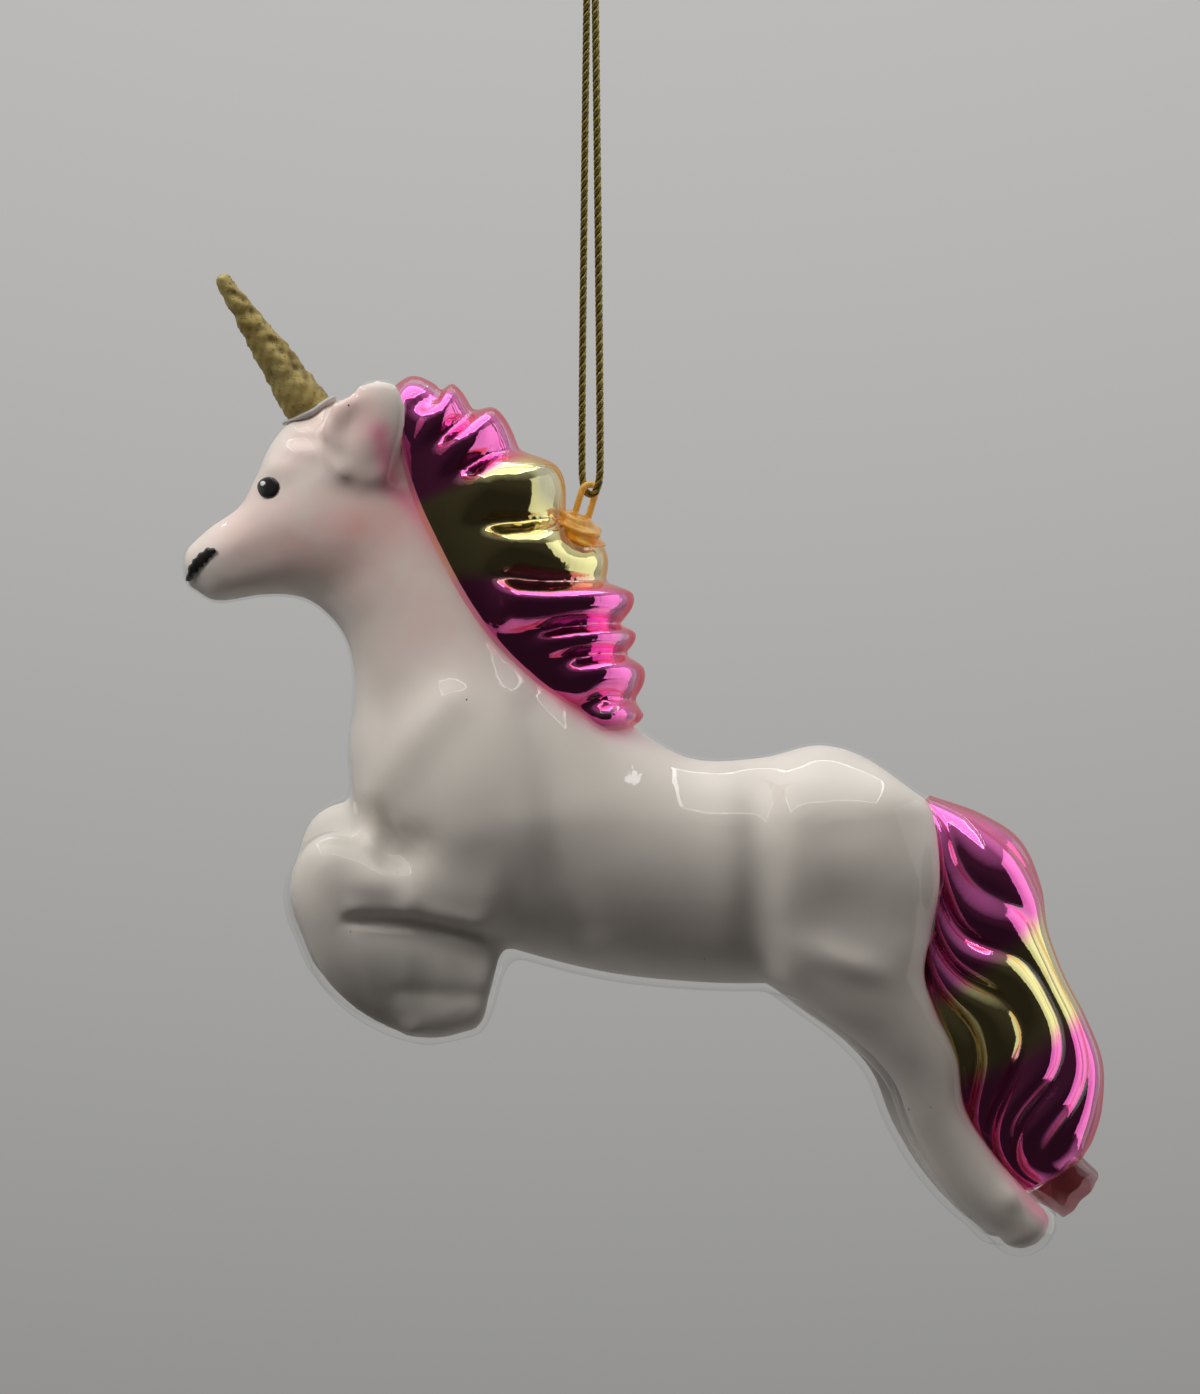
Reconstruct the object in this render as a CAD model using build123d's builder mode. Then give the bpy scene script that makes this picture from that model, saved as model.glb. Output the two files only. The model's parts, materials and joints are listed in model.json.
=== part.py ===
from build123d import *
import math
import os

# A hanging glass unicorn, in millimetres. The origin is the knot that the cord hangs by, +Z is up,
# the nose points to -X, and Y runs across the figure. The figure's own points are measured from the
# rod of the eyelet, as (x, z) in the side view, so the whole figure follows CORD_DROP.

# Cord and knot
CORD_DROP = 69.5
CORD_DIAMETER = 1.0
CORD_GAP = 0.3
CORD_SPREAD = 3.5
CORD_SPREAD_HEIGHT = 4.0
CORD_TOP_SPREAD = 1.3
CORD_SHOULDER = 5.0
CORD_TURN_SHARE = 0.9
KNOT_DIAMETER = 3.6
KNOT_HEIGHT = 4.2
KNOT_WRAPS = 3
KNOT_GROOVE = 0.35
KNOT_TAIL_LENGTH = 7.0
KNOT_TAIL_SPLAY = 14.0

# Eyelet: a hairpin of glass rod, turned about the vertical and leaning, with its feet in a glass gob
EYELET_ROD = 0.9
EYELET_WIDTH = 3.0
EYELET_BEND = 1.0
EYELET_LENGTH = 5.8
EYELET_LEAN = 22.0
EYELET_TURN = 45.0
GOB_DIAMETER = 7.2
GOB_HEIGHT = 4.4
GOB_CENTRE = (-2.1, -6.1)
GOB_OFFSET = 0.9
GOB_ROUNDING = 0.45
GOB_PITCH = 32.0

# Glass walls: the figure was blown thicker towards the head than towards the tail
HEAD_WALL = 1.75
MANE_WALL = 2.2
BARREL_WALL = 1.2
TAIL_WALL = 0.862

# Horn, glued to the forehead
HORN_FOOT = (-36.6, 8.6)
HORN_TIP = (-49.1, 27.2)
HORN_FOOT_DIAMETER = 6.7
HORN_TIP_DIAMETER = 1.7
HORN_TURNS = 2.75
HORN_STEPS = 16
HORN_FLATTENING = 0.86
GLUE_WIDTH = 0.8
GLUE_HEIGHT = 1.2
GLUE_DEPTH = 1.8

# Painted face, laid on as thick enamel
ENAMEL = 0.3
EYE_CENTRE = (-42.9, -0.9)
EYE_DIAMETER = 2.6
GLINT_OFFSET = (-0.35, 0.35)
GLINT_DIAMETER = 0.8
GLINT_THICKNESS = 0.2
NOSTRIL_WIDTH = 1.1
LEFT_NOSTRIL = [(-53.3, -12.6), (-52.3, -10.7), (-50.5, -9.3)]
RIGHT_NOSTRIL = [(-52.8, -9.4), (-51.6, -7.9), (-50.0, -7.4)]
FACE_REACH = 12.0

# Blowpipe stub at the tail's end: a short tube, cracked off square
STUB_END = (66.3, -95.2)
STUB_DIAMETER = 8.0
STUB_BORE = 5.6
STUB_LENGTH = 3.4
STUB_ROOT = 4.0
STUB_SLOPE = -38.0

# Stations of the blown forms: the high and the low outline point, the half width and the middle's y.
# An elliptical section stands on each pair, square to the figure's mid-plane.
BARREL_CAPS = (2.6, 2.4)
BARREL = [
    ((-27.6, -34.5), (-27.4, -50.5), 7.0, 0),
    ((-22.7, -28.5), (-23.3, -56.5), 11.5, 0),
    ((-15.5, -26.0), (-16.5, -60.5), 13.6, 0),
    ((-6.5, -28.0), (-7.3, -63.6), 14.6, 0),
    ((4.0, -31.3), (2.7, -66.0), 14.6, 0),
    ((13.3, -36.0), (13.3, -67.2), 14.0, 0),
    ((22.7, -36.0), (22.7, -67.5), 14.2, 0),
    ((30.7, -34.3), (30.0, -66.8), 14.4, 0),
    ((37.3, -36.2), (36.7, -63.5), 13.2, 0),
    ((43.0, -41.0), (42.2, -59.5), 9.4, 0),
]
NECK_CAPS = (2.0, 3.0)
NECK = [
    ((1.0, -38.5), (-26.0, -46.0), 11.6, 0),
    ((-1.5, -29.5), (-30.4, -36.5), 12.2, 0),
    ((-7.0, -21.5), (-31.0, -29.0), 10.8, 0),
    ((-12.5, -13.8), (-32.7, -20.8), 9.4, 0),
    ((-16.5, -6.3), (-36.3, -15.9), 8.6, 0),
    ((-20.5, 1.0), (-39.5, -10.5), 7.8, 0),
    ((-24.0, 6.5), (-39.0, -4.0), 6.0, 0),
]
HEAD_CAPS = (1.3, 2.5)
HEAD = [
    ((-52.9, -7.9), (-52.6, -14.2), 3.6, 0),
    ((-50.4, -5.6), (-49.4, -15.9), 5.4, 0),
    ((-46.6, -2.8), (-43.8, -15.1), 6.5, 0),
    ((-44.4, 1.2), (-38.4, -14.8), 7.9, 0),
    ((-42.9, 4.8), (-33.2, -13.8), 8.7, 0),
    ((-40.2, 8.2), (-27.8, -9.6), 8.2, 0),
    ((-35.8, 10.7), (-24.6, -4.2), 7.0, 0),
    ((-30.6, 11.6), (-23.4, 2.4), 4.8, 0),
]
EAR_CAPS = (1.6, 1.4)
EAR = [
    ((-35.0, 1.6), (-27.0, 0.2), 2.4, 7.0),
    ((-36.0, 5.8), (-25.4, 5.6), 2.9, 8.0),
    ((-34.8, 9.6), (-25.2, 9.6), 2.6, 8.5),
    ((-32.0, 11.5), (-25.8, 12.0), 1.9, 8.6),
]
FOREARM_CAPS = (2.0, 2.8)
FOREARM = [
    ((-15.5, -48.0), (-14.5, -60.0), 5.2, 6.4),
    ((-24.0, -48.4), (-23.4, -58.0), 5.3, 5.8),
    ((-31.4, -46.8), (-30.4, -57.8), 5.5, 5.5),
    ((-37.0, -48.0), (-35.6, -57.4), 4.6, 5.4),
]
SHANK_CAPS = (8.0, 2.6)
SHANK = [
    ((-38.9, -59.8), (-29.8, -56.8), 5.2, 5.4),
    ((-36.0, -65.9), (-26.4, -57.6), 5.2, 5.2),
    ((-30.2, -71.0), (-23.4, -58.8), 5.2, 5.0),
    ((-22.9, -73.6), (-20.2, -60.6), 5.2, 4.8),
    ((-16.6, -72.6), (-15.8, -62.4), 4.2, 4.6),
]
HIND_CAPS = (5.0, 2.4)
HIND = [
    ((24.5, -46.5), (44.0, -43.5), 6.0, 6.4),
    ((21.0, -54.5), (45.8, -52.0), 7.6, 7.4),
    ((22.0, -63.4), (45.2, -59.9), 7.4, 7.4),
    ((27.3, -69.4), (44.7, -64.9), 6.6, 6.8),
    ((34.0, -74.4), (46.6, -69.9), 5.7, 6.0),
    ((38.7, -79.4), (49.4, -75.6), 5.1, 5.4),
    ((41.4, -86.0), (49.6, -82.6), 4.8, 5.0),
    ((45.0, -92.2), (53.0, -88.8), 4.6, 4.7),
    ((49.8, -97.6), (57.0, -94.2), 4.8, 4.6),
    ((54.6, -101.4), (61.0, -98.8), 4.2, 4.4),
]
RIGHT_FOREARM_SHIFT = (1.2, 4.0)
RIGHT_SHANK_SHIFT = (1.0, 1.4)
RIGHT_HIND_SHIFT = (-1.0, 0.2)

# Mane: ridges and valleys of seven locks, each section running from the neck out to the crest
MANE_CAPS = (4.0, 3.0)
MANE_HOLLOW_CAPS = (4.0, 2.8)
MANE = [
    ((-23.3, 14.4), (-28.6, 3.4), 6.4, 0),
    ((-20.6, 13.0), (-28.2, -0.4), 5.6, 0),
    ((-17.0, 12.8), (-28.0, -3.6), 7.6, 0),
    ((-15.4, 9.2), (-27.4, -6.2), 6.8, 0),
    ((-10.8, 6.4), (-26.6, -9.4), 8.8, 0),
    ((-9.4, 3.4), (-25.6, -11.8), 7.8, 0),
    ((-4.5, -0.4), (-23.8, -14.8), 9.6, 0),
    ((-4.4, -5.2), (-22.2, -17.2), 8.6, 0),
    ((2.6, -10.2), (-20.6, -20.2), 10.6, 0),
    ((1.6, -13.2), (-18.6, -22.8), 9.6, 0),
    ((6.0, -16.6), (-15.6, -26.4), 11.0, 0),
    ((4.2, -22.2), (-11.6, -29.4), 10.0, 0),
    ((7.4, -26.8), (-7.0, -31.8), 9.4, 0),
]
MANE_FRONT = [(-24.9, 20.0), (-24.9, 4.0)]
MANE_PAINT_LINE = [
    (-27.8, -1.8), (-23.0, -6.4), (-19.6, -11.4), (-14.4, -20.2), (-7.2, -27.8), (0.6, -31.2), (7.0, -31.4),
]
MANE_REACH = 20.0

# Tail: a fluted lock, from the croup down to the blowpipe stub
TAIL_HOLLOW_CAPS = (6.5, 2.4)
TAIL_FLUTES = 8
TAIL_FLUTE_DEPTH = 0.6
TAIL_SWAY = 15.0
TAIL = [
    ((42.5, -41.0), (40.5, -53.0), 6.4, 0),
    ((49.4, -43.5), (41.0, -58.0), 8.0, 0),
    ((56.2, -46.2), (41.4, -63.0), 9.4, 0),
    ((60.0, -51.6), (42.0, -67.6), 10.2, 0),
    ((61.2, -58.0), (43.0, -71.6), 10.2, 0),
    ((63.4, -64.8), (44.4, -75.4), 9.8, 0),
    ((66.6, -70.8), (45.6, -79.4), 9.6, 0),
    ((69.1, -77.2), (47.0, -83.6), 9.2, 0),
    ((68.9, -83.6), (49.2, -88.2), 8.2, 0),
    ((67.4, -88.6), (52.6, -92.6), 6.8, 0),
    ((66.4, -91.2), (56.6, -95.4), 5.0, 0),
]
TAIL_PAINT_LINE = [
    (45.4, -37.0), (46.9, -51.0), (46.5, -58.0), (46.0, -64.6), (47.8, -69.8), (50.8, -75.6), (51.6, -82.2),
    (54.6, -88.0), (58.2, -93.6), (62.4, -98.6), (65.0, -101.6),
]
TAIL_REACH = 80.0

HALF_WIDTH_REACH = 25.0
CAP_STEPS = (0.5, 0.85, 0.98)


def spot(x, z, y=0.0):
    return Vector(x, y, z - CORD_DROP)


def side_view(y=0.0):
    # The figure's side view, seen from its left: x along the nose line, z up from the eyelet's rod
    return Plane(origin=spot(0, 0, y), x_dir=(1, 0, 0), z_dir=(0, -1, 0))


def station_plane(high, low, y):
    top = spot(*high, y)
    bottom = spot(*low, y)
    up = (top - bottom).normalized()
    return Plane(origin=(top + bottom) / 2, x_dir=up, z_dir=up.cross(Vector(0, 1, 0)))


def half_height(high, low):
    return math.dist(high, low) / 2


def moved(stations, side, shift):
    dx, dz = shift
    return [
        ((hx + dx, hz + dz), (lx + dx, lz + dz), half_width, side * y)
        for (hx, hz), (lx, lz), half_width, y in stations
    ]


def ellipse_on(plane, tall, wide):
    with BuildSketch(plane) as section:
        Ellipse(tall, wide)
    return section.sketch


def rounded_end(station, neighbour, length, inset):
    # Sections of a half ellipsoid that closes a form beyond its end station, from the inside out
    high, low, half_width, y = station
    plane = station_plane(high, low, y)
    inward = station_plane(neighbour[0], neighbour[1], neighbour[3]).origin - plane.origin
    outward = -1 if inward.dot(plane.z_dir) > 0 else 1
    sections = []
    for part_way in CAP_STEPS:
        share = math.sqrt(1 - part_way**2)
        tall = (half_height(high, low) - inset) * share
        wide = (half_width - inset) * share
        sections.append(ellipse_on(plane.offset(outward * (length - inset) * part_way), tall, wide))
    return sections


def blown_form(stations, caps, inset):
    # One blown form: elliptical sections along its stations, round at both ends, drawn in by the inset
    first = rounded_end(stations[0], stations[1], caps[0], inset)
    last = rounded_end(stations[-1], stations[-2], caps[1], inset)
    middle = [
        ellipse_on(station_plane(high, low, y), half_height(high, low) - inset, half_width - inset)
        for high, low, half_width, y in stations
    ]
    with BuildPart() as form:
        loft([*reversed(first), *middle, *last])
    return form.part


def fluted_form(stations):
    # The tail's form: each section's edge waves in and out, and the waves sway down the length
    sections = []
    for number, (high, low, half_width, y) in enumerate(stations):
        tall = half_height(high, low)
        sway = math.radians(TAIL_SWAY) * math.sin(2 * math.pi * number / (len(stations) - 1))
        points = []
        for step in range(4 * TAIL_FLUTES):
            angle = 2 * math.pi * step / (4 * TAIL_FLUTES)
            wave = TAIL_FLUTE_DEPTH * math.cos(TAIL_FLUTES * (angle + sway))
            points.append(((tall + wave) * math.cos(angle), (half_width + wave) * math.sin(angle)))
        with BuildSketch(station_plane(high, low, y)) as section:
            with BuildLine():
                Spline(points, periodic=True)
            make_face()
        sections.append(section.sketch)
    with BuildPart() as form:
        loft(sections)
    return form.part


def front_forms(inset):
    forms = [blown_form(NECK, NECK_CAPS, inset), blown_form(HEAD, HEAD_CAPS, inset)]
    for side, arm_shift, shank_shift in ((-1, (0, 0), (0, 0)), (1, RIGHT_FOREARM_SHIFT, RIGHT_SHANK_SHIFT)):
        forms.append(blown_form(moved(FOREARM, side, arm_shift), FOREARM_CAPS, inset))
        forms.append(blown_form(moved(SHANK, side, shank_shift), SHANK_CAPS, inset))
    return forms


def hind_legs(inset):
    return [
        blown_form(moved(HIND, side, shift), HIND_CAPS, inset)
        for side, shift in ((-1, (0, 0)), (1, RIGHT_HIND_SHIFT))
    ]


# Where the painted mane and tail begin: prisms across the figure, bounded by their paint lines. The
# tail's line runs just behind the hind legs, which stay white.
with BuildPart() as mane_region:
    with BuildSketch(side_view(HALF_WIDTH_REACH)):
        with BuildLine():
            front = Polyline(*MANE_FRONT, MANE_PAINT_LINE[0])
            line = Spline(*MANE_PAINT_LINE)
            Polyline(line @ 1, (MANE_REACH, MANE_PAINT_LINE[-1][1]), (MANE_REACH, MANE_FRONT[0][1]), front @ 0)
        make_face()
    extrude(amount=2 * HALF_WIDTH_REACH)

with BuildPart() as tail_region:
    with BuildSketch(side_view(HALF_WIDTH_REACH)):
        with BuildLine():
            line = Spline(*TAIL_PAINT_LINE)
            top = TAIL_PAINT_LINE[0][1]
            bottom = TAIL_PAINT_LINE[-1][1]
            Polyline(line @ 1, (TAIL_REACH, bottom), (TAIL_REACH, top), line @ 0)
        make_face()
    extrude(amount=2 * HALF_WIDTH_REACH)

# The mane's rolled locks, cut to their paint line
with BuildPart() as mane_locks:
    add(blown_form(MANE, MANE_CAPS, 0))
    add(mane_region.part, mode=Mode.INTERSECT)

# Eyelet and gob: the hairpin's straight top lies on the swing axis, and its feet stand in the gob
turn = math.radians(EYELET_TURN)
lean = math.radians(EYELET_LEAN)
swing_axis = Vector(math.sin(turn), math.cos(turn), 0)
hole_axis = Vector(math.cos(turn), -math.sin(turn), 0)
pivot = spot(0, 0)
eyelet_up = hole_axis * math.sin(lean) + Vector(0, 0, 1) * math.cos(lean)
eyelet_plane = Plane(origin=pivot, x_dir=swing_axis, z_dir=swing_axis.cross(eyelet_up))

with BuildPart() as hanging_eyelet:
    with BuildLine(eyelet_plane) as hairpin:
        half = EYELET_WIDTH / 2
        FilletPolyline(
            (-half, -EYELET_LENGTH), (-half, 0), (half, 0), (half, -EYELET_LENGTH), radius=EYELET_BEND
        )
    with BuildSketch(Plane(origin=hairpin.line @ 0, z_dir=hairpin.line % 0)):
        Circle(EYELET_ROD / 2)
    sweep()
hanging_eyelet.part.label = "hanging_eyelet"

pitch = math.radians(GOB_PITCH)
gob_plane = Plane(
    origin=spot(*GOB_CENTRE, GOB_OFFSET), x_dir=(0, 1, 0), z_dir=(math.sin(pitch), 0, math.cos(pitch))
)
with BuildPart() as eyelet_gob:
    with BuildSketch(gob_plane):
        Circle(GOB_DIAMETER / 2)
    extrude(amount=GOB_HEIGHT / 2, both=True)
    fillet(edges().filter_by(GeomType.CIRCLE), radius=GOB_HEIGHT * GOB_ROUNDING)
    add(hanging_eyelet.part, mode=Mode.SUBTRACT)
    add(mane_locks.part, mode=Mode.SUBTRACT)
eyelet_gob.part.label = "eyelet_gob"

# The glass: every outer form fused, less the same forms drawn in by the wall. Inside, the mane and the tail
# are smooth, and the ears are solid.
mane_hollow = blown_form(MANE[3::2], MANE_HOLLOW_CAPS, MANE_WALL)
tail_hollow = blown_form(TAIL[1:], TAIL_HOLLOW_CAPS, TAIL_WALL + TAIL_FLUTE_DEPTH)
ears = [blown_form(moved(EAR, side, (0, 0)), EAR_CAPS, 0) for side in (-1, 1)]

stub_axis = Vector(math.cos(math.radians(STUB_SLOPE)), 0, math.sin(math.radians(STUB_SLOPE)))
stub_plane = Plane(origin=spot(*STUB_END) - stub_axis * STUB_LENGTH, x_dir=(0, 1, 0), z_dir=stub_axis)

with BuildPart() as outer_glass:
    add(blown_form(BARREL, BARREL_CAPS, 0))
    add([*front_forms(0), *hind_legs(0), fluted_form(TAIL), *ears, mane_locks.part])
    with BuildSketch(stub_plane.offset(-STUB_ROOT)):
        Circle(STUB_DIAMETER / 2)
    extrude(amount=STUB_ROOT + STUB_LENGTH)

with BuildPart() as cavity:
    add(blown_form(BARREL, BARREL_CAPS, BARREL_WALL))
    add([*front_forms(HEAD_WALL), *hind_legs(TAIL_WALL), tail_hollow, mane_hollow])
    with BuildSketch(stub_plane.offset(-STUB_ROOT)):
        Circle(STUB_BORE / 2)
    extrude(amount=STUB_ROOT + STUB_LENGTH)

# The blown glass parts at its paint lines, because each stretch has a finish of its own
with BuildPart() as body_shell:
    add(outer_glass.part)
    add([mane_region.part, tail_region.part], mode=Mode.SUBTRACT)
    add(cavity.part, mode=Mode.SUBTRACT)
body_shell.part.label = "body_shell"

with BuildPart() as mane_shell:
    add(outer_glass.part)
    add(mane_region.part, mode=Mode.INTERSECT)
    add(cavity.part, mode=Mode.SUBTRACT)
mane_shell.part.label = "mane_shell"

with BuildPart() as stub_region:
    with BuildSketch(stub_plane):
        Circle(STUB_DIAMETER / 2 + STUB_ROOT)
    extrude(amount=STUB_ROOT + STUB_LENGTH)

with BuildPart() as tail_glass:
    add(outer_glass.part)
    add(tail_region.part, mode=Mode.INTERSECT)
    add(cavity.part, mode=Mode.SUBTRACT)

with BuildPart() as tail_shell:
    add(tail_glass.part)
    add(stub_region.part, mode=Mode.SUBTRACT)
tail_shell.part.label = "tail_shell"

with BuildPart() as blowpipe_stub:
    add(tail_glass.part)
    add(stub_region.part, mode=Mode.INTERSECT)
blowpipe_stub.part.label = "blowpipe_stub"

# Horn: a flattened section that turns as it tapers, cut to the forehead, with a bead of glue round it
head_form = blown_form(HEAD, HEAD_CAPS, 0)
horn_foot = spot(*HORN_FOOT)
horn_axis = (spot(*HORN_TIP) - horn_foot).normalized()
horn_length = (spot(*HORN_TIP) - horn_foot).length
horn_plane = Plane(origin=horn_foot, x_dir=(0, 1, 0), z_dir=horn_axis)

with BuildPart() as horn:
    for step in range(HORN_STEPS + 1):
        share = step / HORN_STEPS
        radius = (HORN_FOOT_DIAMETER * (1 - share) + HORN_TIP_DIAMETER * share) / 2
        with BuildSketch(horn_plane.offset(horn_length * share)):
            Ellipse(radius, radius * HORN_FLATTENING, rotation=360 * HORN_TURNS * share)
    loft()
    add(head_form, mode=Mode.SUBTRACT)
horn.part.label = "horn"

with BuildPart() as horn_glue:
    with BuildSketch(horn_plane):
        Circle(HORN_FOOT_DIAMETER / 2 + GLUE_WIDTH)
    with BuildSketch(horn_plane.offset(GLUE_DEPTH + GLUE_HEIGHT)):
        Circle(HORN_FOOT_DIAMETER / 2 - GLUE_WIDTH)
    loft()
    add([head_form, horn.part], mode=Mode.SUBTRACT)
horn_glue.part.label = "horn_glue"


# Painted face: each mark is a prism across one cheek, kept between two skins over the head
face_skins = {height: blown_form(HEAD, HEAD_CAPS, -height) for height in (ENAMEL, ENAMEL + GLINT_THICKNESS)}
face_skins[0] = head_form


def spot_mark(centre, diameter, side, under, over):
    with BuildPart() as mark:
        with BuildSketch(side_view()):
            with Locations(centre):
                Circle(diameter / 2)
        extrude(amount=-side * FACE_REACH)
        add(face_skins[over], mode=Mode.INTERSECT)
        add(face_skins[under], mode=Mode.SUBTRACT)
    return mark.part


def stroke_mark(points, side):
    with BuildPart() as mark:
        with BuildSketch(side_view()):
            with BuildLine():
                Spline(*points)
            trace(line_width=NOSTRIL_WIDTH)
        extrude(amount=-side * FACE_REACH)
        add(face_skins[ENAMEL], mode=Mode.INTERSECT)
        add(face_skins[0], mode=Mode.SUBTRACT)
    return mark.part


glint_centre = (EYE_CENTRE[0] + GLINT_OFFSET[0], EYE_CENTRE[1] + GLINT_OFFSET[1])
left_eye = spot_mark(EYE_CENTRE, EYE_DIAMETER, -1, 0, ENAMEL)
left_eye.label = "left_eye"
right_eye = spot_mark(EYE_CENTRE, EYE_DIAMETER, 1, 0, ENAMEL)
right_eye.label = "right_eye"
left_eye_glint = spot_mark(glint_centre, GLINT_DIAMETER, -1, ENAMEL, ENAMEL + GLINT_THICKNESS)
left_eye_glint.label = "left_eye_glint"
right_eye_glint = spot_mark(glint_centre, GLINT_DIAMETER, 1, ENAMEL, ENAMEL + GLINT_THICKNESS)
right_eye_glint.label = "right_eye_glint"
left_nostril = stroke_mark(LEFT_NOSTRIL, -1)
left_nostril.label = "left_nostril"
right_nostril = stroke_mark(RIGHT_NOSTRIL, 1)
right_nostril.label = "right_nostril"

# Cord: two taut strands from the knot, spread over the eyelet, and a tight turn under its rod
bight_radius = (EYELET_ROD + CORD_DIAMETER) / 2 + CORD_GAP
cord_plane = Plane(origin=(0, 0, 0), x_dir=hole_axis, z_dir=-swing_axis)
half_cord = [(CORD_TOP_SPREAD / 2, 0), (CORD_SPREAD / 2, CORD_SPREAD_HEIGHT - CORD_DROP)]
half_cord.append((bight_radius, -CORD_DROP - bight_radius))
cord_route = half_cord + [(-along, height) for along, height in reversed(half_cord)]
cord_radii = [CORD_SHOULDER, bight_radius * CORD_TURN_SHARE, bight_radius * CORD_TURN_SHARE, CORD_SHOULDER]

with BuildPart() as hanging_cord:
    with BuildLine(cord_plane) as strand:
        FilletPolyline(*cord_route, radius=cord_radii)
    with BuildSketch(Plane(origin=strand.line @ 0, z_dir=strand.line % 0)):
        Circle(CORD_DIAMETER / 2)
    sweep()
    with BuildSketch(Plane.XY):
        Rectangle(KNOT_DIAMETER * 2, KNOT_DIAMETER * 2)
    extrude(amount=KNOT_HEIGHT, mode=Mode.SUBTRACT)
hanging_cord.part.label = "hanging_cord"

# Knot: wraps of the same cord on a flat underside, with the two cut ends standing out of its top
with BuildPart() as cord_knot:
    wrap_height = KNOT_HEIGHT / KNOT_WRAPS
    with BuildSketch(Plane.XZ):
        Rectangle(KNOT_DIAMETER / 2 - KNOT_GROOVE, KNOT_HEIGHT, align=(Align.MIN, Align.MIN))
        for wrap in range(KNOT_WRAPS):
            with Locations((KNOT_DIAMETER / 2 - wrap_height / 2, (wrap + 0.5) * wrap_height)):
                Circle(wrap_height / 2)
    revolve(axis=Axis.Z)
    for side in (-1, 1):
        splay = math.radians(side * KNOT_TAIL_SPLAY)
        tail_root = Vector(side * CORD_TOP_SPREAD / 2, 0, KNOT_HEIGHT - CORD_DIAMETER)
        with BuildSketch(Plane(origin=tail_root, z_dir=(math.sin(splay), 0, math.cos(splay)))):
            Circle(CORD_DIAMETER / 2)
        extrude(amount=KNOT_TAIL_LENGTH + CORD_DIAMETER)
cord_knot.part.label = "cord_knot"

cord_length = sum(edge.length for edge in strand.edges())
print("cord radii", [round(radius, 2) for radius in cord_radii], "length", round(cord_length, 2))
print("cord volume", round(hanging_cord.part.volume, 2), "section times length",
      round(math.pi * CORD_DIAMETER**2 / 4 * cord_length, 2))

os.makedirs("parts", exist_ok=True)
pieces = [
    body_shell.part, mane_shell.part, tail_shell.part, blowpipe_stub.part, horn.part, horn_glue.part,
    left_eye, right_eye, left_eye_glint, right_eye_glint, left_nostril, right_nostril,
    hanging_eyelet.part, eyelet_gob.part, hanging_cord.part, cord_knot.part,
]
for piece in pieces:
    export_step(piece, f"parts/{piece.label}.step")
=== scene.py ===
import bpy
import json
import math
import numpy as np
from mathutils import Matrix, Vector
from mathutils.bvhtree import BVHTree

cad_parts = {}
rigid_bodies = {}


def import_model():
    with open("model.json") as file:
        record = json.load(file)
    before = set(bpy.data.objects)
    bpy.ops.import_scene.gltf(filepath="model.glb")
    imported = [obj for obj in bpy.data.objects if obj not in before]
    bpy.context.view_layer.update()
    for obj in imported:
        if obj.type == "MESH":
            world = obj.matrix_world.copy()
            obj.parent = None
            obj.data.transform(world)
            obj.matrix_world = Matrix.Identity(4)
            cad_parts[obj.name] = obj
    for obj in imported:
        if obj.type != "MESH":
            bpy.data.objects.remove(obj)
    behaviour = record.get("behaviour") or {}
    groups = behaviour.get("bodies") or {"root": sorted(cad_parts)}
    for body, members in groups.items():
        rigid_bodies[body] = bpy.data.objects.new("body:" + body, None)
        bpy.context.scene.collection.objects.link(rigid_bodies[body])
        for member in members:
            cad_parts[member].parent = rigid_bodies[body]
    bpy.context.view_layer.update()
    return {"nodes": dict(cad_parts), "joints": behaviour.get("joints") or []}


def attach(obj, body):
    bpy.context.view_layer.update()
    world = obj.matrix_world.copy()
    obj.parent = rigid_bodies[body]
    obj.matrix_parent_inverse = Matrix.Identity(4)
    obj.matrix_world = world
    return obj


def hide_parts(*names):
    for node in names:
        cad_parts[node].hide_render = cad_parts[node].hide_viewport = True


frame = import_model()
mm = 0.001
# the figure's points are in millimetres from the rod of its eyelet, x towards the tail and z up
rod = np.array(next(joint for joint in frame["joints"] if joint["name"] == "figure_swing")["pos_m"])
print("frame loaded:", len(frame["nodes"]), "nodes")


def toFrame(points):
    return np.asarray(points, float) * mm + rod


def roundTurn(count):
    return np.linspace(0, 2 * math.pi, count, endpoint=False)


def waves(turn, parts):
    # a sum of sines, each given as amount, count round the turn and start
    return sum(amount * np.sin(count * turn + start) for amount, count, start in parts)


def intoScene(name, data):
    made = bpy.data.objects.new(name, data)
    bpy.context.scene.collection.objects.link(made)
    return made


def meshFrom(holder):
    # the mesh that an object's modifiers or spline give, and the object itself is dropped
    bpy.context.view_layer.update()
    mesh = bpy.data.meshes.new_from_object(holder.evaluated_get(bpy.context.evaluated_depsgraph_get()))
    bpy.data.objects.remove(holder)
    return mesh


def meshPiece(name, points, faces, material, slot, body="ornament"):
    mesh = bpy.data.meshes.new(name)
    mesh.from_pydata(points.tolist(), [], faces if isinstance(faces, list) else faces.tolist())
    mesh.polygons.foreach_set("use_smooth", [True] * len(mesh.polygons))
    mesh.materials.append(material)
    piece = intoScene(name, mesh)
    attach(piece, body)
    return piece


def paint(piece, name, values):
    layer = piece.data.attributes.new(name, "FLOAT", "POINT")
    layer.data.foreach_set("value", np.asarray(values, np.float32))


# Materials

def addNode(tree, kind, values=None, **settings):
    # values go to the node's inputs: a socket is linked, anything else is set
    made = tree.nodes.new(kind)
    for key, value in settings.items():
        setattr(made, key, value)
    for key, value in (values or {}).items():
        if isinstance(value, bpy.types.NodeSocket):
            tree.links.new(value, made.inputs[key])
        else:
            made.inputs[key].default_value = value
    return made


def newMaterial(name, shade):
    material = bpy.data.materials.new(name)
    material.use_nodes = True
    tree = material.node_tree
    tree.nodes.clear()
    addNode(tree, "ShaderNodeOutputMaterial", {"Surface": shade(tree)})
    return material


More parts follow.
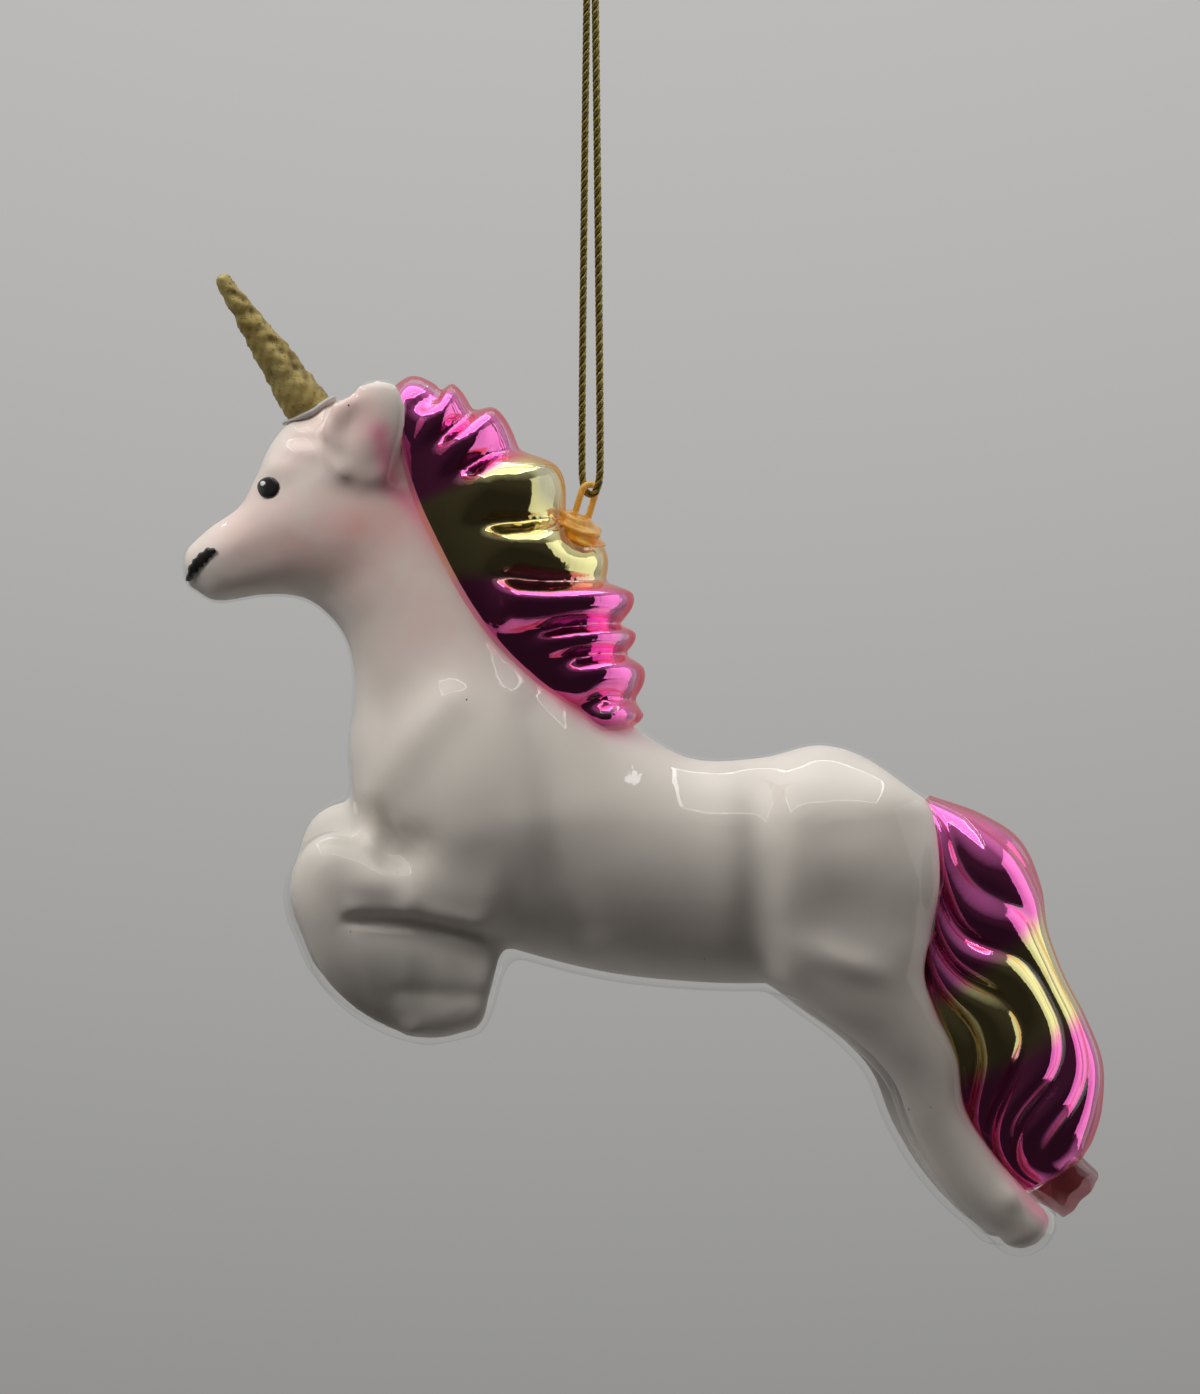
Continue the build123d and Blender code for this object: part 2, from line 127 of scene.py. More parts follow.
def readMask(tree, name):
    return addNode(tree, "ShaderNodeAttribute", attribute_name=name).outputs["Fac"]


def product(tree, first, second):
    return addNode(tree, "ShaderNodeMath", {0: first, 1: second}, operation="MULTIPLY").outputs[0]


def mixShader(tree, factor, first, second):
    return addNode(tree, "ShaderNodeMixShader", {0: factor, 1: first, 2: second}).outputs[0]


def mixColour(tree, factor, first, second, blend="MIX"):
    # inputs 6 and 7 of the node are its two colours
    values = {0: factor, 6: first, 7: second}
    for key in (6, 7):
        if isinstance(values[key], tuple):
            values[key] = (*values[key], 1.0)
    return addNode(tree, "ShaderNodeMix", values, data_type="RGBA", blend_type=blend).outputs[2]


def handPaintGroup():
    # uneven cover of hand-laid paint: a soft cloud and fine brush streaks
    group = bpy.data.node_groups.new("hand paint", "ShaderNodeTree")
    face = group.interface
    for name, value in (("Cloud Scale", 90.0), ("Streak Scale", 420.0), ("Streak Turn", 0.6)):
        face.new_socket(name, in_out="INPUT", socket_type="NodeSocketFloat").default_value = value
    for name in ("Cloud", "Streak"):
        face.new_socket(name, in_out="OUTPUT", socket_type="NodeSocketFloat")
    given = addNode(group, "NodeGroupInput").outputs
    place = addNode(group, "ShaderNodeTexCoord").outputs["Object"]
    lean = addNode(group, "ShaderNodeCombineXYZ", {"Y": given["Streak Turn"]})
    turn = addNode(group, "ShaderNodeMapping", {
        "Vector": place, "Rotation": lean.outputs[0], "Scale": (1.0, 1.0, 0.22)})
    cloud = addNode(group, "ShaderNodeTexNoise", {
        "Vector": place, "Scale": given["Cloud Scale"], "Detail": 4.0, "Roughness": 0.55})
    streak = addNode(group, "ShaderNodeTexNoise", {
        "Vector": turn.outputs[0], "Scale": given["Streak Scale"], "Detail": 2.0, "Roughness": 0.4})
    addNode(group, "NodeGroupOutput", {"Cloud": cloud.outputs["Fac"], "Streak": streak.outputs["Fac"]})
    return group


handPaint = handPaintGroup()


def layPaint(tree, cloudScale=90.0, streakScale=420.0, streakTurn=0.6):
    values = {"Cloud Scale": cloudScale, "Streak Scale": streakScale, "Streak Turn": streakTurn}
    made = addNode(tree, "ShaderNodeGroup", values, node_tree=handPaint)
    return made.outputs["Cloud"], made.outputs["Streak"]


def bumpFrom(tree, height, strength, depth):
    values = {"Strength": strength, "Distance": depth, "Height": height}
    return addNode(tree, "ShaderNodeBump", values).outputs["Normal"]


def sharpen(tree, value, low, high, toLow=0.0, toHigh=1.0):
    values = {"Value": value, "From Min": low, "From Max": high, "To Min": toLow, "To Max": toHigh}
    return addNode(tree, "ShaderNodeMapRange", values).outputs["Result"]


def coat(tree, base, rough, bump, more=None):
    values = {"Base Color": base, "Roughness": rough, "Normal": bump, **(more or {})}
    return addNode(tree, "ShaderNodeBsdfPrincipled", values).outputs[0]


def glassOver(tree, tint, shine=0.02, index=1.45, ripple=0.04):
    # clear or stained glass seen straight through, with its gloss on the faces turned outward
    see = addNode(tree, "ShaderNodeBsdfTransparent", {"Color": tint})
    wave = bumpFrom(tree, layPaint(tree, 130.0)[0], ripple, 0.0012)
    white = (1.0, 1.0, 1.0, 1.0)
    gloss = addNode(tree, "ShaderNodeBsdfGlossy", {"Roughness": shine, "Color": white, "Normal": wave})
    edge = addNode(tree, "ShaderNodeFresnel", {"IOR": index})
    inside = addNode(tree, "ShaderNodeNewGeometry").outputs["Backfacing"]
    front = addNode(tree, "ShaderNodeMath", {0: 1.0, 1: inside}, operation="SUBTRACT")
    share = product(tree, edge.outputs[0], front.outputs[0])
    return mixShader(tree, share, see.outputs[0], gloss.outputs[0])


def clearGlass(tree):
    return glassOver(tree, (0.97, 0.97, 0.965, 1.0))


def whiteEnamel(tree):
    look = {"white": (0.82, 0.755, 0.68), "thinPaintAndShade": (0.29, 0.27, 0.245),
            "blush": (0.86, 0.43, 0.40), "spray": (0.90, 0.30, 0.42)}
    cloud, streak = layPaint(tree, 70.0, 300.0)
    base = mixColour(tree, sharpen(tree, cloud, 0.35, 0.75, 0.0, 0.12), look["white"], look["thinPaintAndShade"])
    # the greyish mask darkens the white: partly thin paint, partly painted shade in dents, creases and under
    # the barrel
    bare = product(tree, readMask(tree, "thinPaintAndShade"), sharpen(tree, streak, 0.2, 0.7, 0.75, 1.0))
    base = mixColour(tree, bare, base, look["thinPaintAndShade"])
    flush = product(tree, readMask(tree, "blush"), sharpen(tree, cloud, 0.3, 0.7, 0.3, 1.3))
    base = mixColour(tree, flush, base, look["blush"])
    base = mixColour(tree, readMask(tree, "spray"), base, look["spray"])
    rough = sharpen(tree, streak, 0.2, 0.8, 0.42, 0.58)
    return coat(tree, base, rough, bumpFrom(tree, streak, 0.08, 0.0004), {"Specular IOR Level": 0.2})


def stainedGlass(tree):
    look = {"pink": (1.0, 0.79, 0.91), "gold": (1.0, 0.985, 0.85),
            "coral": (1.0, 0.12, 0.22), "amber": (0.98, 0.58, 0.14)}
    gold = readMask(tree, "gold")
    face = mixColour(tree, gold, look["pink"], look["gold"])
    rim = mixColour(tree, gold, look["coral"], look["amber"])
    graze = addNode(tree, "ShaderNodeLayerWeight", {"Blend": 0.5}).outputs["Facing"]
    return glassOver(tree, mixColour(tree, sharpen(tree, graze, 0.45, 0.9), face, rim), 0.015, 1.5, 0.05)


def silverLining(tree):
    look = {"pink": (0.95, 0.27, 0.70), "gold": (0.85, 0.82, 0.48), "dull": (0.34, 0.08, 0.12)}
    cloud, streak = layPaint(tree, 160.0, 520.0)
    base = mixColour(tree, readMask(tree, "gold"), look["pink"], look["gold"])
    base = mixColour(tree, sharpen(tree, cloud, 0.62, 0.85, 0.0, 0.35), base, look["dull"])
    rough = sharpen(tree, streak, 0.3, 0.8, 0.03, 0.10)
    silver = coat(tree, base, rough, bumpFrom(tree, cloud, 0.10, 0.0010), {"Metallic": 1.0})
    window = addNode(tree, "ShaderNodeBsdfTransparent").outputs[0]
    return mixShader(tree, readMask(tree, "bare"), silver, window)


def stubGlass(tree):
    look = {"dark": (0.56, 0.34, 0.36), "pale": (0.76, 0.52, 0.53)}
    cloud = sharpen(tree, layPaint(tree, 220.0)[0], 0.3, 0.7)
    return glassOver(tree, mixColour(tree, cloud, look["dark"], look["pale"]), 0.03, 1.5, 0.1)


def hornGold(tree):
    look = {"gold": (0.34, 0.25, 0.075), "deep": (0.09, 0.06, 0.018), "worn": (0.50, 0.40, 0.15)}
    cloud, streak = layPaint(tree, 260.0, 900.0, 0.9)
    base = mixColour(tree, sharpen(tree, cloud, 0.35, 0.7), look["gold"], look["worn"])
    # painted shade: the gold goes to the deep colour in the spiral's valleys, in the dents and in tiny pits
    base = mixColour(tree, readMask(tree, "grooveShade"), base, look["deep"])
    place = addNode(tree, "ShaderNodeTexCoord").outputs["Object"]
    pitShade = addNode(tree, "ShaderNodeTexVoronoi", {"Vector": place, "Scale": 900.0}).outputs["Distance"]
    base = mixColour(tree, sharpen(tree, pitShade, 0.0, 0.22, 0.75, 0.0), base, look["deep"])
    rough = sharpen(tree, streak, 0.2, 0.8, 0.42, 0.66)
    return coat(tree, base, rough, bumpFrom(tree, streak, 0.5, 0.0003), {"Metallic": 0.55})


def plainPaint(name, first, second, shine, scale):
    def shade(tree):
        cloud, streak = layPaint(tree, scale, 4 * scale)
        base = mixColour(tree, sharpen(tree, cloud, 0.35, 0.7), first, second)
        rough = sharpen(tree, streak, 0.2, 0.8, shine, shine + 0.12)
        return coat(tree, base, rough, bumpFrom(tree, streak, 0.15, 0.0002))

    return newMaterial(name, shade)


def amberGlass(tree):
    look = {"pale": (1.0, 0.86, 0.46), "orange": (0.98, 0.52, 0.08), "milk": (1.0, 0.66, 0.13)}
    cloud, streak = layPaint(tree, 420.0, 700.0)
    graze = addNode(tree, "ShaderNodeLayerWeight", {"Blend": 0.4}).outputs["Facing"]
    clear = glassOver(tree, mixColour(tree, graze, look["pale"], look["orange"]), 0.02, 1.5, 0.15)
    cast = mixColour(tree, sharpen(tree, streak, 0.3, 0.7), look["milk"], look["orange"])
    milk = addNode(tree, "ShaderNodeBsdfPrincipled", {"Base Color": cast, "Roughness": 0.12})
    return mixShader(tree, sharpen(tree, cloud, 0.3, 0.7, 0.25, 0.7), clear, milk.outputs[0])


def cordGold(tree):
    look = {"gold": (0.44, 0.33, 0.07), "olive": (0.05, 0.043, 0.012)}
    streak = layPaint(tree, streakScale=5000.0)[1]
    base = mixColour(tree, readMask(tree, "dark"), look["gold"], look["olive"])
    base = mixColour(tree, sharpen(tree, streak, 0.35, 0.75, 0.0, 0.45), base, look["olive"])
    rough = sharpen(tree, streak, 0.2, 0.8, 0.28, 0.5)
    return coat(tree, base, rough, bumpFrom(tree, streak, 0.4, 0.0002), {"Metallic": 0.7})


glassClear = newMaterial("clear blown glass", clearGlass)
enamelWhite = newMaterial("white enamel in glass", whiteEnamel)
glassStained = newMaterial("stained glass over silver", stainedGlass)
liningSilver = newMaterial("silvered lining", silverLining)
glassStub = newMaterial("unsilvered stub glass", stubGlass)
goldHorn = newMaterial("gold horn paint", hornGold)
glueGrey = plainPaint("dried glue", (0.36, 0.345, 0.33), (0.52, 0.50, 0.47), 0.25, 400.0)
enamelBlack = plainPaint("black enamel", (0.012, 0.012, 0.012), (0.022, 0.02, 0.02), 0.08, 500.0)
enamelDot = plainPaint("white enamel dot", (0.72, 0.71, 0.70), (0.84, 0.83, 0.82), 0.2, 500.0)
glassAmber = newMaterial("amber glass", amberGlass)
cordThread = newMaterial("metallic gold cord", cordGold)
print("materials ready")


# Rings of points, and the faces between them

def ringAt(centre, side, over, wide, tall, around):
    return centre + side * (wide * np.cos(around))[:, None] + over * (tall * np.sin(around))[:, None]


def ringMesh(rings, closed=False, capped=False, turned=False):
    count, total = len(rings[0]), len(rings)
    faces = []
    for number in range(total if closed else total - 1):
        a, b = number * count, (number + 1) % total * count
        for k in range(count):
            n = (k + 1) % count
            faces.append((a + k, b + k, b + n, a + n) if turned else (a + k, a + n, b + n, b + k))
    if capped:
        faces.append(tuple(range((total - 1) * count, total * count)))
        faces.append(tuple(range(count - 1, -1, -1)))
    return np.vstack(rings), faces


def flipped(faces):
    return [tuple(reversed(face)) for face in faces]


def joined(parts):
    points, faces, base = [], [], 0
    for block, blockFaces in parts:
        points.append(block)
        faces += [tuple(base + k for k in face) for face in blockFaces]
        base += len(block)
    return np.vstack(points), faces


# Blown forms, as distance fields over a grid: the far value, the margin round a form, points taken at a time

field = {"far": 40.0, "margin": 7, "batch": 30000}


def smoothRows(stations, steps):
    # a row is high x and z, low x and z, half width, and y where it is off the middle
    rows = np.array([(*row, 0)[:6] for row in stations], float)
    around = np.vstack([2 * rows[0] - rows[1], rows, 2 * rows[-1] - rows[-2]])
    made = []
    for number in range(len(rows) - 1):
        a, b, c, d = around[number:number + 4]
        for step in range(steps):
            t = step / steps
            bend = (2 * a - 5 * b + 4 * c - d) * t**2 + (3 * b - a - 3 * c + d) * t**3
            made.append(b + 0.5 * ((c - a) * t + bend))
    made.append(rows[-1])
    return np.array(made)


def limbField(stations, caps, steps=8):
    # distance to a form of elliptical sections that stand on rows of high and low outline points
    rows = smoothRows(stations, steps)
    middle = (rows[:, :2] + rows[:, 2:4]) / 2
    up = rows[:, :2] - rows[:, 2:4]
    tall = np.linalg.norm(up, axis=1) / 2
    up = up / (2 * tall[:, None])
    ahead = np.stack([-up[:, 1], up[:, 0]], 1)
    if (ahead[:-1] * np.diff(middle, axis=0)).sum() < 0:
        ahead = -ahead
    table = np.column_stack([middle, up, tall, rows[:, 4], rows[:, 5]])

    def distance(points):
        result = np.empty(len(points))
        for part in np.array_split(np.arange(len(points)), max(1, len(points) // field["batch"])):
            p = points[part]
            dx = p[:, None, 0] - middle[None, :, 0]
            dz = p[:, None, 2] - middle[None, :, 1]
            s = dx * ahead[None, :, 0] + dz * ahead[None, :, 1]
            far = dx**2 + dz**2
            crossed = (s[:, :-1] >= 0) & (s[:, 1:] < 0)
            pick = np.where(crossed, far[:, :-1], 1e9).argmin(1)
            inside = crossed.any(1)
            line = np.arange(len(p))
            here = s[line, pick]
            share = np.where(inside, here / np.maximum(here - s[line, pick + 1], 1e-9), 0)
            atEnd = far[:, -1] < far[:, 0]
            low = np.where(inside, pick, np.where(atEnd, len(rows) - 1, 0))
            high = np.where(inside, pick + 1, low)
            at = table[low] * (1 - share)[:, None] + table[high] * share[:, None]
            beyond = np.where(inside, 0, s[line, low])
            cap = np.where(atEnd, caps[1], caps[0])
            a = (p[:, 0] - at[:, 0]) * at[:, 2] + (p[:, 2] - at[:, 1]) * at[:, 3]
            b = p[:, 1] - at[:, 6]
            near = np.sqrt((a / at[:, 4])**2 + (b / at[:, 5])**2 + (beyond / cap)**2)
            slope = np.sqrt((a / at[:, 4]**2)**2 + (b / at[:, 5]**2)**2 + (beyond / cap**2)**2)
            result[part] = near * (near - 1) / np.maximum(slope, 1e-6)
        return result

    x, z, half, y = rows[:, [0, 2]], rows[:, [1, 3]], rows[:, 4], rows[:, 5]
    gap = field["margin"] + max(caps)
    box = ((x.min() - gap, (y - half).min() - field["margin"], z.min() - gap),
           (x.max() + gap, (y + half).max() + field["margin"], z.max() + gap))
    return box, distance


def newGrid(low, high, step):
    axes = [np.arange(a, b + step, step) for a, b in zip(low, high)]
    return {"axes": axes, "step": step, "field": np.full([len(axis) for axis in axes], field["far"])}


def fuse(grid, form, blend):
    box, distance = form
    window = tuple(slice(*np.searchsorted(axis, (a, b))) for axis, a, b in zip(grid["axes"], *box))
    mesh = np.meshgrid(*(axis[part] for axis, part in zip(grid["axes"], window)), indexing="ij")
    new = distance(np.stack(mesh, -1).reshape(-1, 3)).reshape(mesh[0].shape)
    old = grid["field"][window]
    pull = np.maximum(blend - np.abs(old - new), 0) / blend
    grid["field"][window] = np.minimum(old, new) - pull**2 * blend / 4


def skinOf(grid, level):
    # one vertex in each cell that the surface crosses, joined across each crossed edge of the grid
    f = grid["field"] - level
    shape = np.array(f.shape)
    cells = shape - 1
    total = np.zeros((*cells, 3))
    count = np.zeros(cells)

    def corner(at):
        return f[tuple(slice(k, n + k) for k, n in zip(at, cells))]

    for axis in range(3):
        one, two = (axis + 1) % 3, (axis + 2) % 3
        for u in (0, 1):
            for v in (0, 1):
                at = [0, 0, 0]
                at[one], at[two] = u, v
                fa = corner(at)
                at[axis] = 1
                fb = corner(at)
                mixed = (fa < 0) != (fb < 0)
                t = np.where(mixed, fa / np.where(mixed, fa - fb, 1), 0)
                total[..., axis] += t
                total[..., one] += mixed * u
                total[..., two] += mixed * v
                count += mixed
    live = count > 0
    index = np.full(cells, -1)
    index[live] = np.arange(live.sum())
    start = np.array([axis[0] for axis in grid["axes"]])
    points = (np.argwhere(live) + total[live] / count[live][:, None]) * grid["step"] + start
    faces = []
    for axis in range(3):
        one, two = (axis + 1) % 3, (axis + 2) % 3
        near = [slice(1, n - 1) for n in shape]
        near[axis] = slice(0, shape[axis] - 1)
        ahead = list(near)
        ahead[axis] = slice(1, shape[axis])
        a, b = f[tuple(near)], f[tuple(ahead)]
        crossed = np.argwhere((a < 0) != (b < 0))
        outward = (a < 0)[tuple(crossed.T)]
        crossed = crossed + np.array([s.start for s in near])
        quad = []
        for u, v in ((0, 0), (1, 0), (1, 1), (0, 1)):
            cell = crossed.copy()
            cell[:, one] -= u
            cell[:, two] -= v
            quad.append(index[tuple(cell.T)])
        quad = np.stack(quad, 1)
        faces.append(np.where(outward[:, None], quad, quad[:, ::-1]))
    return points, np.vstack(faces)


def relax(points, faces, rounds):
    edges = np.vstack([faces[:, [k, (k + 1) % 4]] for k in range(4)])
    edges = np.unique(np.sort(edges, 1), axis=0)
    count = np.bincount(edges.ravel(), minlength=len(points))[:, None]
    for number in range(rounds):
        for weight in (0.5, -0.51):
            total = np.zeros_like(points)
            np.add.at(total, edges[:, 0], points[edges[:, 1]])
            np.add.at(total, edges[:, 1], points[edges[:, 0]])
            points = points + weight * (total / count - points)
    return points


def normalsOf(points, faces):
    across = np.cross(points[faces[:, 2]] - points[faces[:, 0]], points[faces[:, 3]] - points[faces[:, 1]])
    total = np.zeros_like(points)
    for k in range(4):
        np.add.at(total, faces[:, k], across)
    return total / np.maximum(np.linalg.norm(total, axis=1)[:, None], 1e-12)


# White body: the stations are those of the solids, side by side for the two legs of a pair

blownBody = {
    "step": 0.8, "wall": (0.35, 1.1), "wallTurn": (-44.0, -58.0),
    "barrel": [
        (-27.6, -34.5, -27.4, -50.5, 7.0), (-22.7, -28.5, -23.3, -56.5, 11.5),
        (-15.5, -26.0, -16.5, -60.5, 13.6), (-6.5, -28.0, -7.3, -63.6, 14.6),
        (4.0, -31.3, 2.7, -66.0, 14.6), (13.3, -36.0, 13.3, -67.2, 14.0),
        (22.7, -36.0, 22.7, -67.5, 14.2), (30.7, -34.3, 30.0, -66.8, 14.4),
        (37.3, -36.2, 36.7, -63.5, 13.2), (43.0, -41.0, 42.2, -59.5, 9.4),
    ],
    "neck": [
        (1.0, -38.5, -26.0, -46.0, 11.6), (-1.5, -29.5, -30.4, -36.5, 12.2),
        (-7.0, -21.5, -31.0, -29.0, 10.8), (-12.5, -13.8, -32.7, -20.8, 9.4),
        (-16.5, -6.3, -36.3, -15.9, 8.6), (-20.5, 1.0, -39.5, -10.5, 7.8),
        (-24.0, 6.5, -39.0, -4.0, 6.0),
    ],
    "head": [
        (-52.9, -7.9, -52.6, -14.2, 3.6), (-50.4, -5.6, -49.4, -15.9, 5.4),
        (-46.6, -2.8, -43.8, -15.1, 6.5), (-44.4, 1.2, -38.4, -14.8, 7.9),
        (-42.9, 4.8, -33.2, -13.8, 8.7), (-40.2, 8.2, -27.8, -9.6, 8.2),
        (-35.8, 10.7, -24.6, -4.2, 7.0), (-30.6, 11.6, -23.4, 2.4, 4.8),
    ],
    "ear": [
        (-35.0, 1.6, -27.0, 0.2, 2.4, 7.0), (-36.0, 5.8, -25.4, 5.6, 2.9, 8.0),
        (-34.8, 9.6, -25.2, 9.6, 2.6, 8.5), (-32.0, 11.5, -25.8, 12.0, 1.9, 8.6),
    ],
    "forearm": [
        (-15.5, -48.4, -14.5, -60.0, 5.2, 6.4), (-24.0, -49.2, -23.4, -58.4, 5.3, 5.8),
        (-30.0, -47.4, -29.6, -57.8, 5.5, 5.5), (-34.6, -45.8, -33.8, -57.4, 5.2, 5.4),
    ],
    "shank": [
        (-38.9, -59.8, -29.8, -55.8, 5.2, 5.4), (-36.0, -65.9, -26.4, -56.2, 5.2, 5.2),
        (-30.2, -71.0, -22.6, -56.6, 5.2, 5.0), (-22.9, -73.6, -18.4, -57.6, 5.2, 4.8),
        (-16.6, -72.6, -13.6, -59.6, 4.4, 4.6),
    ],
    "hind": [
        (24.5, -46.5, 44.0, -43.5, 6.0, 6.4), (21.0, -54.5, 45.8, -52.0, 7.6, 7.4),
        (22.0, -63.4, 45.2, -59.9, 7.4, 7.4), (27.3, -69.4, 44.7, -64.9, 6.6, 6.8),
        (34.0, -74.4, 46.6, -69.9, 5.7, 6.0), (38.7, -79.4, 49.4, -75.6, 5.1, 5.4),
        (41.4, -86.0, 50.4, -82.2, 4.8, 5.0), (45.0, -92.2, 54.2, -88.2, 4.6, 4.7),
        (49.4, -97.4, 58.4, -93.2, 4.9, 4.6), (53.2, -100.6, 61.6, -96.4, 4.6, 4.4),
    ],
    "caps": {"barrel": (2.6, 2.4), "neck": (5.0, 3.0), "head": (1.3, 2.5), "ear": (1.6, 1.4),
             "forearm": (2.0, 5.2), "shank": (8.0, 2.6), "hind": (5.0, 4.2)},
    "blend": {"barrel": 1.0, "neck": 9.5, "head": 4.0, "ear": 2.6,
              "forearm": 5.5, "shank": 4.0, "hind": 5.0},
    "rightShift": {"ear": (0, 0), "forearm": (1.0, 3.3), "shank": (-0.8, 0.6), "hind": (-1.0, 0.2)},
    "gridLow": (-60, -20, -108), "gridHigh": (68, 20, 20), "relax": 5,
    # the relief fades in beside the middle: where from, and over how much
    "seam": (1.0, 3.0),
    # pink lacquer sprayed past the edge of mane and tail: strength, reach
    "maneSpray": (0.85, 1.5), "tailSpray": (0.9, 1.3), "mostSpray": 0.85, "mostBlush": 0.8,
}

# pressed-in modelling: (x, z), amount, spread along, spread across, turn in degrees
bodyBumps = [
    ((-41.3, 1.5), 0.6, 2.4, 1.2, 25), ((-42.9, -0.9), -0.35, 1.7, 1.7, 0),
    ((-34.7, -7.9), 0.6, 5.0, 4.0, 0), ((-51.3, -9.9), 0.4, 2.0, 1.6, 0),
    ((-45.3, -9.9), -0.5, 3.4, 1.6, 20), ((-32.7, 6.8), -1.3, 2.8, 1.6, 60),
    ((-25.3, -47.9), -1.7, 2.4, 2.0, 0), ((-24.7, -54.5), 0.5, 1.0, 1.0, 0),
    ((31.3, -55.2), -1.0, 4.5, 3.6, 0), ((31.5, -62.5), 0.8, 4.0, 1.3, -20),
    ((-24.0, -71.0), 0.6, 1.0, 0.8, 0), ((-9.0, -52.0), 0.4, 9.0, 6.0, 0),
    ((-17.0, -41.0), 0.7, 3.6, 6.0, 0), ((-19.4, -70.8), 0.6, 3.6, 1.8, 0),
    ((-28.4, -52.0), 0.5, 3.0, 1.6, 10), ((25.8, -44.0), 0.6, 2.6, 5.0, 0),
    ((-35.0, -49.0), 0.5, 2.6, 2.2, 0), ((55.0, -94.5), 0.7, 1.2, 1.2, 0),
]
# ridges and creases: points, amount, half width
bodyStrokes = [
    ([(-19.6, -28.8), (-22.7, -31.9), (-25.3, -35.2), (-28.6, -40.6)], 0.8, 1.9),
    ([(-9.0, -30.5), (-7.4, -40.5), (-5.4, -49.0), (-2.4, -58.5)], -0.5, 1.8),
    ([(-4.0, -30.5), (-2.8, -40.5), (-0.6, -49.0), (2.6, -58.5)], 0.3, 2.6),
    ([(21.4, -40.0), (20.0, -47.0), (20.4, -56.0), (21.6, -63.5)], -0.8, 1.9),
    ([(26.0, -40.5), (25.2, -48.0), (24.4, -56.0), (25.0, -62.5)], 0.5, 2.2),
    ([(-40.0, 4.0), (-36.0, 3.4), (-33.5, 1.0)], 0.4, 0.7),
    ([(-39.0, 6.5), (-35.5, 6.2), (-34.0, 4.5)], 0.35, 0.6),
    ([(-35.4, 10.4), (-35.4, 6.0), (-33.2, 1.2)], 0.45, 0.8),
    ([(-25.6, 10.4), (-26.0, 5.6), (-27.8, 0.8)], 0.35, 0.8),
    ([(-32.4, -57.2), (-24.0, -57.6), (-16.0, -59.4)], -0.6, 0.6),
    ([(-32.0, -55.4), (-24.0, -55.6), (-16.0, -57.2)], 0.45, 0.8),
    ([(-25.8, -66.6), (-21.0, -66.8), (-15.2, -67.2)], -0.4, 0.9),
]


def nearStroke(x, z, line):
    best = np.full(x.shape, 1e3)
    for (ax, az), (bx, bz) in zip(line[:-1], line[1:]):
        run = (bx - ax)**2 + (bz - az)**2
        t = np.clip(((x - ax) * (bx - ax) + (z - az) * (bz - az)) / run, 0, 1)
        best = np.minimum(best, np.hypot(x - ax - t * (bx - ax), z - az - t * (bz - az)))
    return best


def bodyRelief(points):
    x, y, z = points.T
    start, run = blownBody["seam"]
    side = np.clip((np.abs(y) - start) / run, 0, 1)
    push = np.zeros(len(points))
    for (bx, bz), amount, along, across, turn in bodyBumps:
        c, s = math.cos(math.radians(turn)), math.sin(math.radians(turn))
        u, v = (x - bx) * c + (z - bz) * s, (z - bz) * c - (x - bx) * s
        push += amount * np.exp(-0.5 * ((u / along)**2 + (v / across)**2))
    for line, amount, width in bodyStrokes:
        push += amount * np.exp(-0.5 * (nearStroke(x, z, line) / width)**2)
    return push * side


def sideStations(name, side):
    dx, dz = blownBody["rightShift"][name] if side > 0 else (0, 0)
    return [(hx + dx, hz + dz, lx + dx, lz + dz, half, side * y)
            for hx, hz, lx, lz, half, y in blownBody[name]]


def bodyGrid():
    grid = newGrid(blownBody["gridLow"], blownBody["gridHigh"], blownBody["step"])
    forms = [(name, blownBody[name]) for name in ("barrel", "neck", "head")]
    for name in blownBody["rightShift"]:
        forms += [(name, sideStations(name, side)) for side in (-1, 1)]
    for name, stations in forms:
        fuse(grid, limbField(stations, blownBody["caps"][name]), blownBody["blend"][name])
    return grid


maneLine = [(-28.5, 6.0), (-26.9, -0.8), (-24.7, -2.5), (-22.0, -5.6), (-18.7, -10.5), (-16.0, -14.9),
            (-13.3, -19.5), (-10.0, -22.8), (-6.0, -27.2), (-2.0, -29.9), (1.3, -30.9), (6.4, -30.7)]
tailLine = [
    (45.4, -42.1), (46.0, -45.5), (46.3, -52.5), (45.4, -58.0), (44.5, -64.5), (46.0, -69.5),
    (49.0, -72.5), (50.5, -76.5), (49.7, -82.0), (53.5, -88.0), (58.0, -95.0), (62.4, -99.2),
]
# bare, greyish places in the white, partly thin paint and partly painted shade in dents and creases, on the
# lower legs and under the barrel, and the pink that strayed over it: (x, z), strength, spread
thinAndShadedPlaces = [
    ((-44.0, -10.7), 0.45, 3.2, 1.4), ((-26.0, -64.5), 1.0, 8.0, 4.2), ((-30.0, -70.5), 0.4, 6.0, 2.6),
    ((31.3, -55.2), 0.4, 4.0, 4.0), ((19.0, -50.0), 0.35, 1.6, 9.0), ((-8.0, -47.0), 0.3, 1.6, 8.0),
    ((42.5, -80.0), 0.5, 3.0, 6.0), ((51.0, -95.0), 0.25, 3.0, 3.0), ((4.0, -56.0), 0.32, 12.0, 6.0),
    ((-25.3, -47.9), 0.5, 2.0, 1.8),
]
blushPlaces = [
    ((-32.5, 6.5), 0.75, 3.0, 4.0), ((-37.5, 4.5), 0.45, 3.0, 3.0), ((-40.0, -7.0), 0.58, 7.0, 5.0),
    ((-30.0, -6.0), 0.42, 5.0, 6.0), ((-24.0, -16.0), 0.42, 6.0, 8.0), ((-24.5, -1.0), 0.4, 2.5, 3.5),
]


def spread(places, x, z):
    total = np.zeros(len(x))
    for (px, pz), strength, along, across in places:
        total += strength * np.exp(-0.5 * (((x - px) / along)**2 + ((z - pz) / across)**2))
    return np.clip(total, 0, 1)


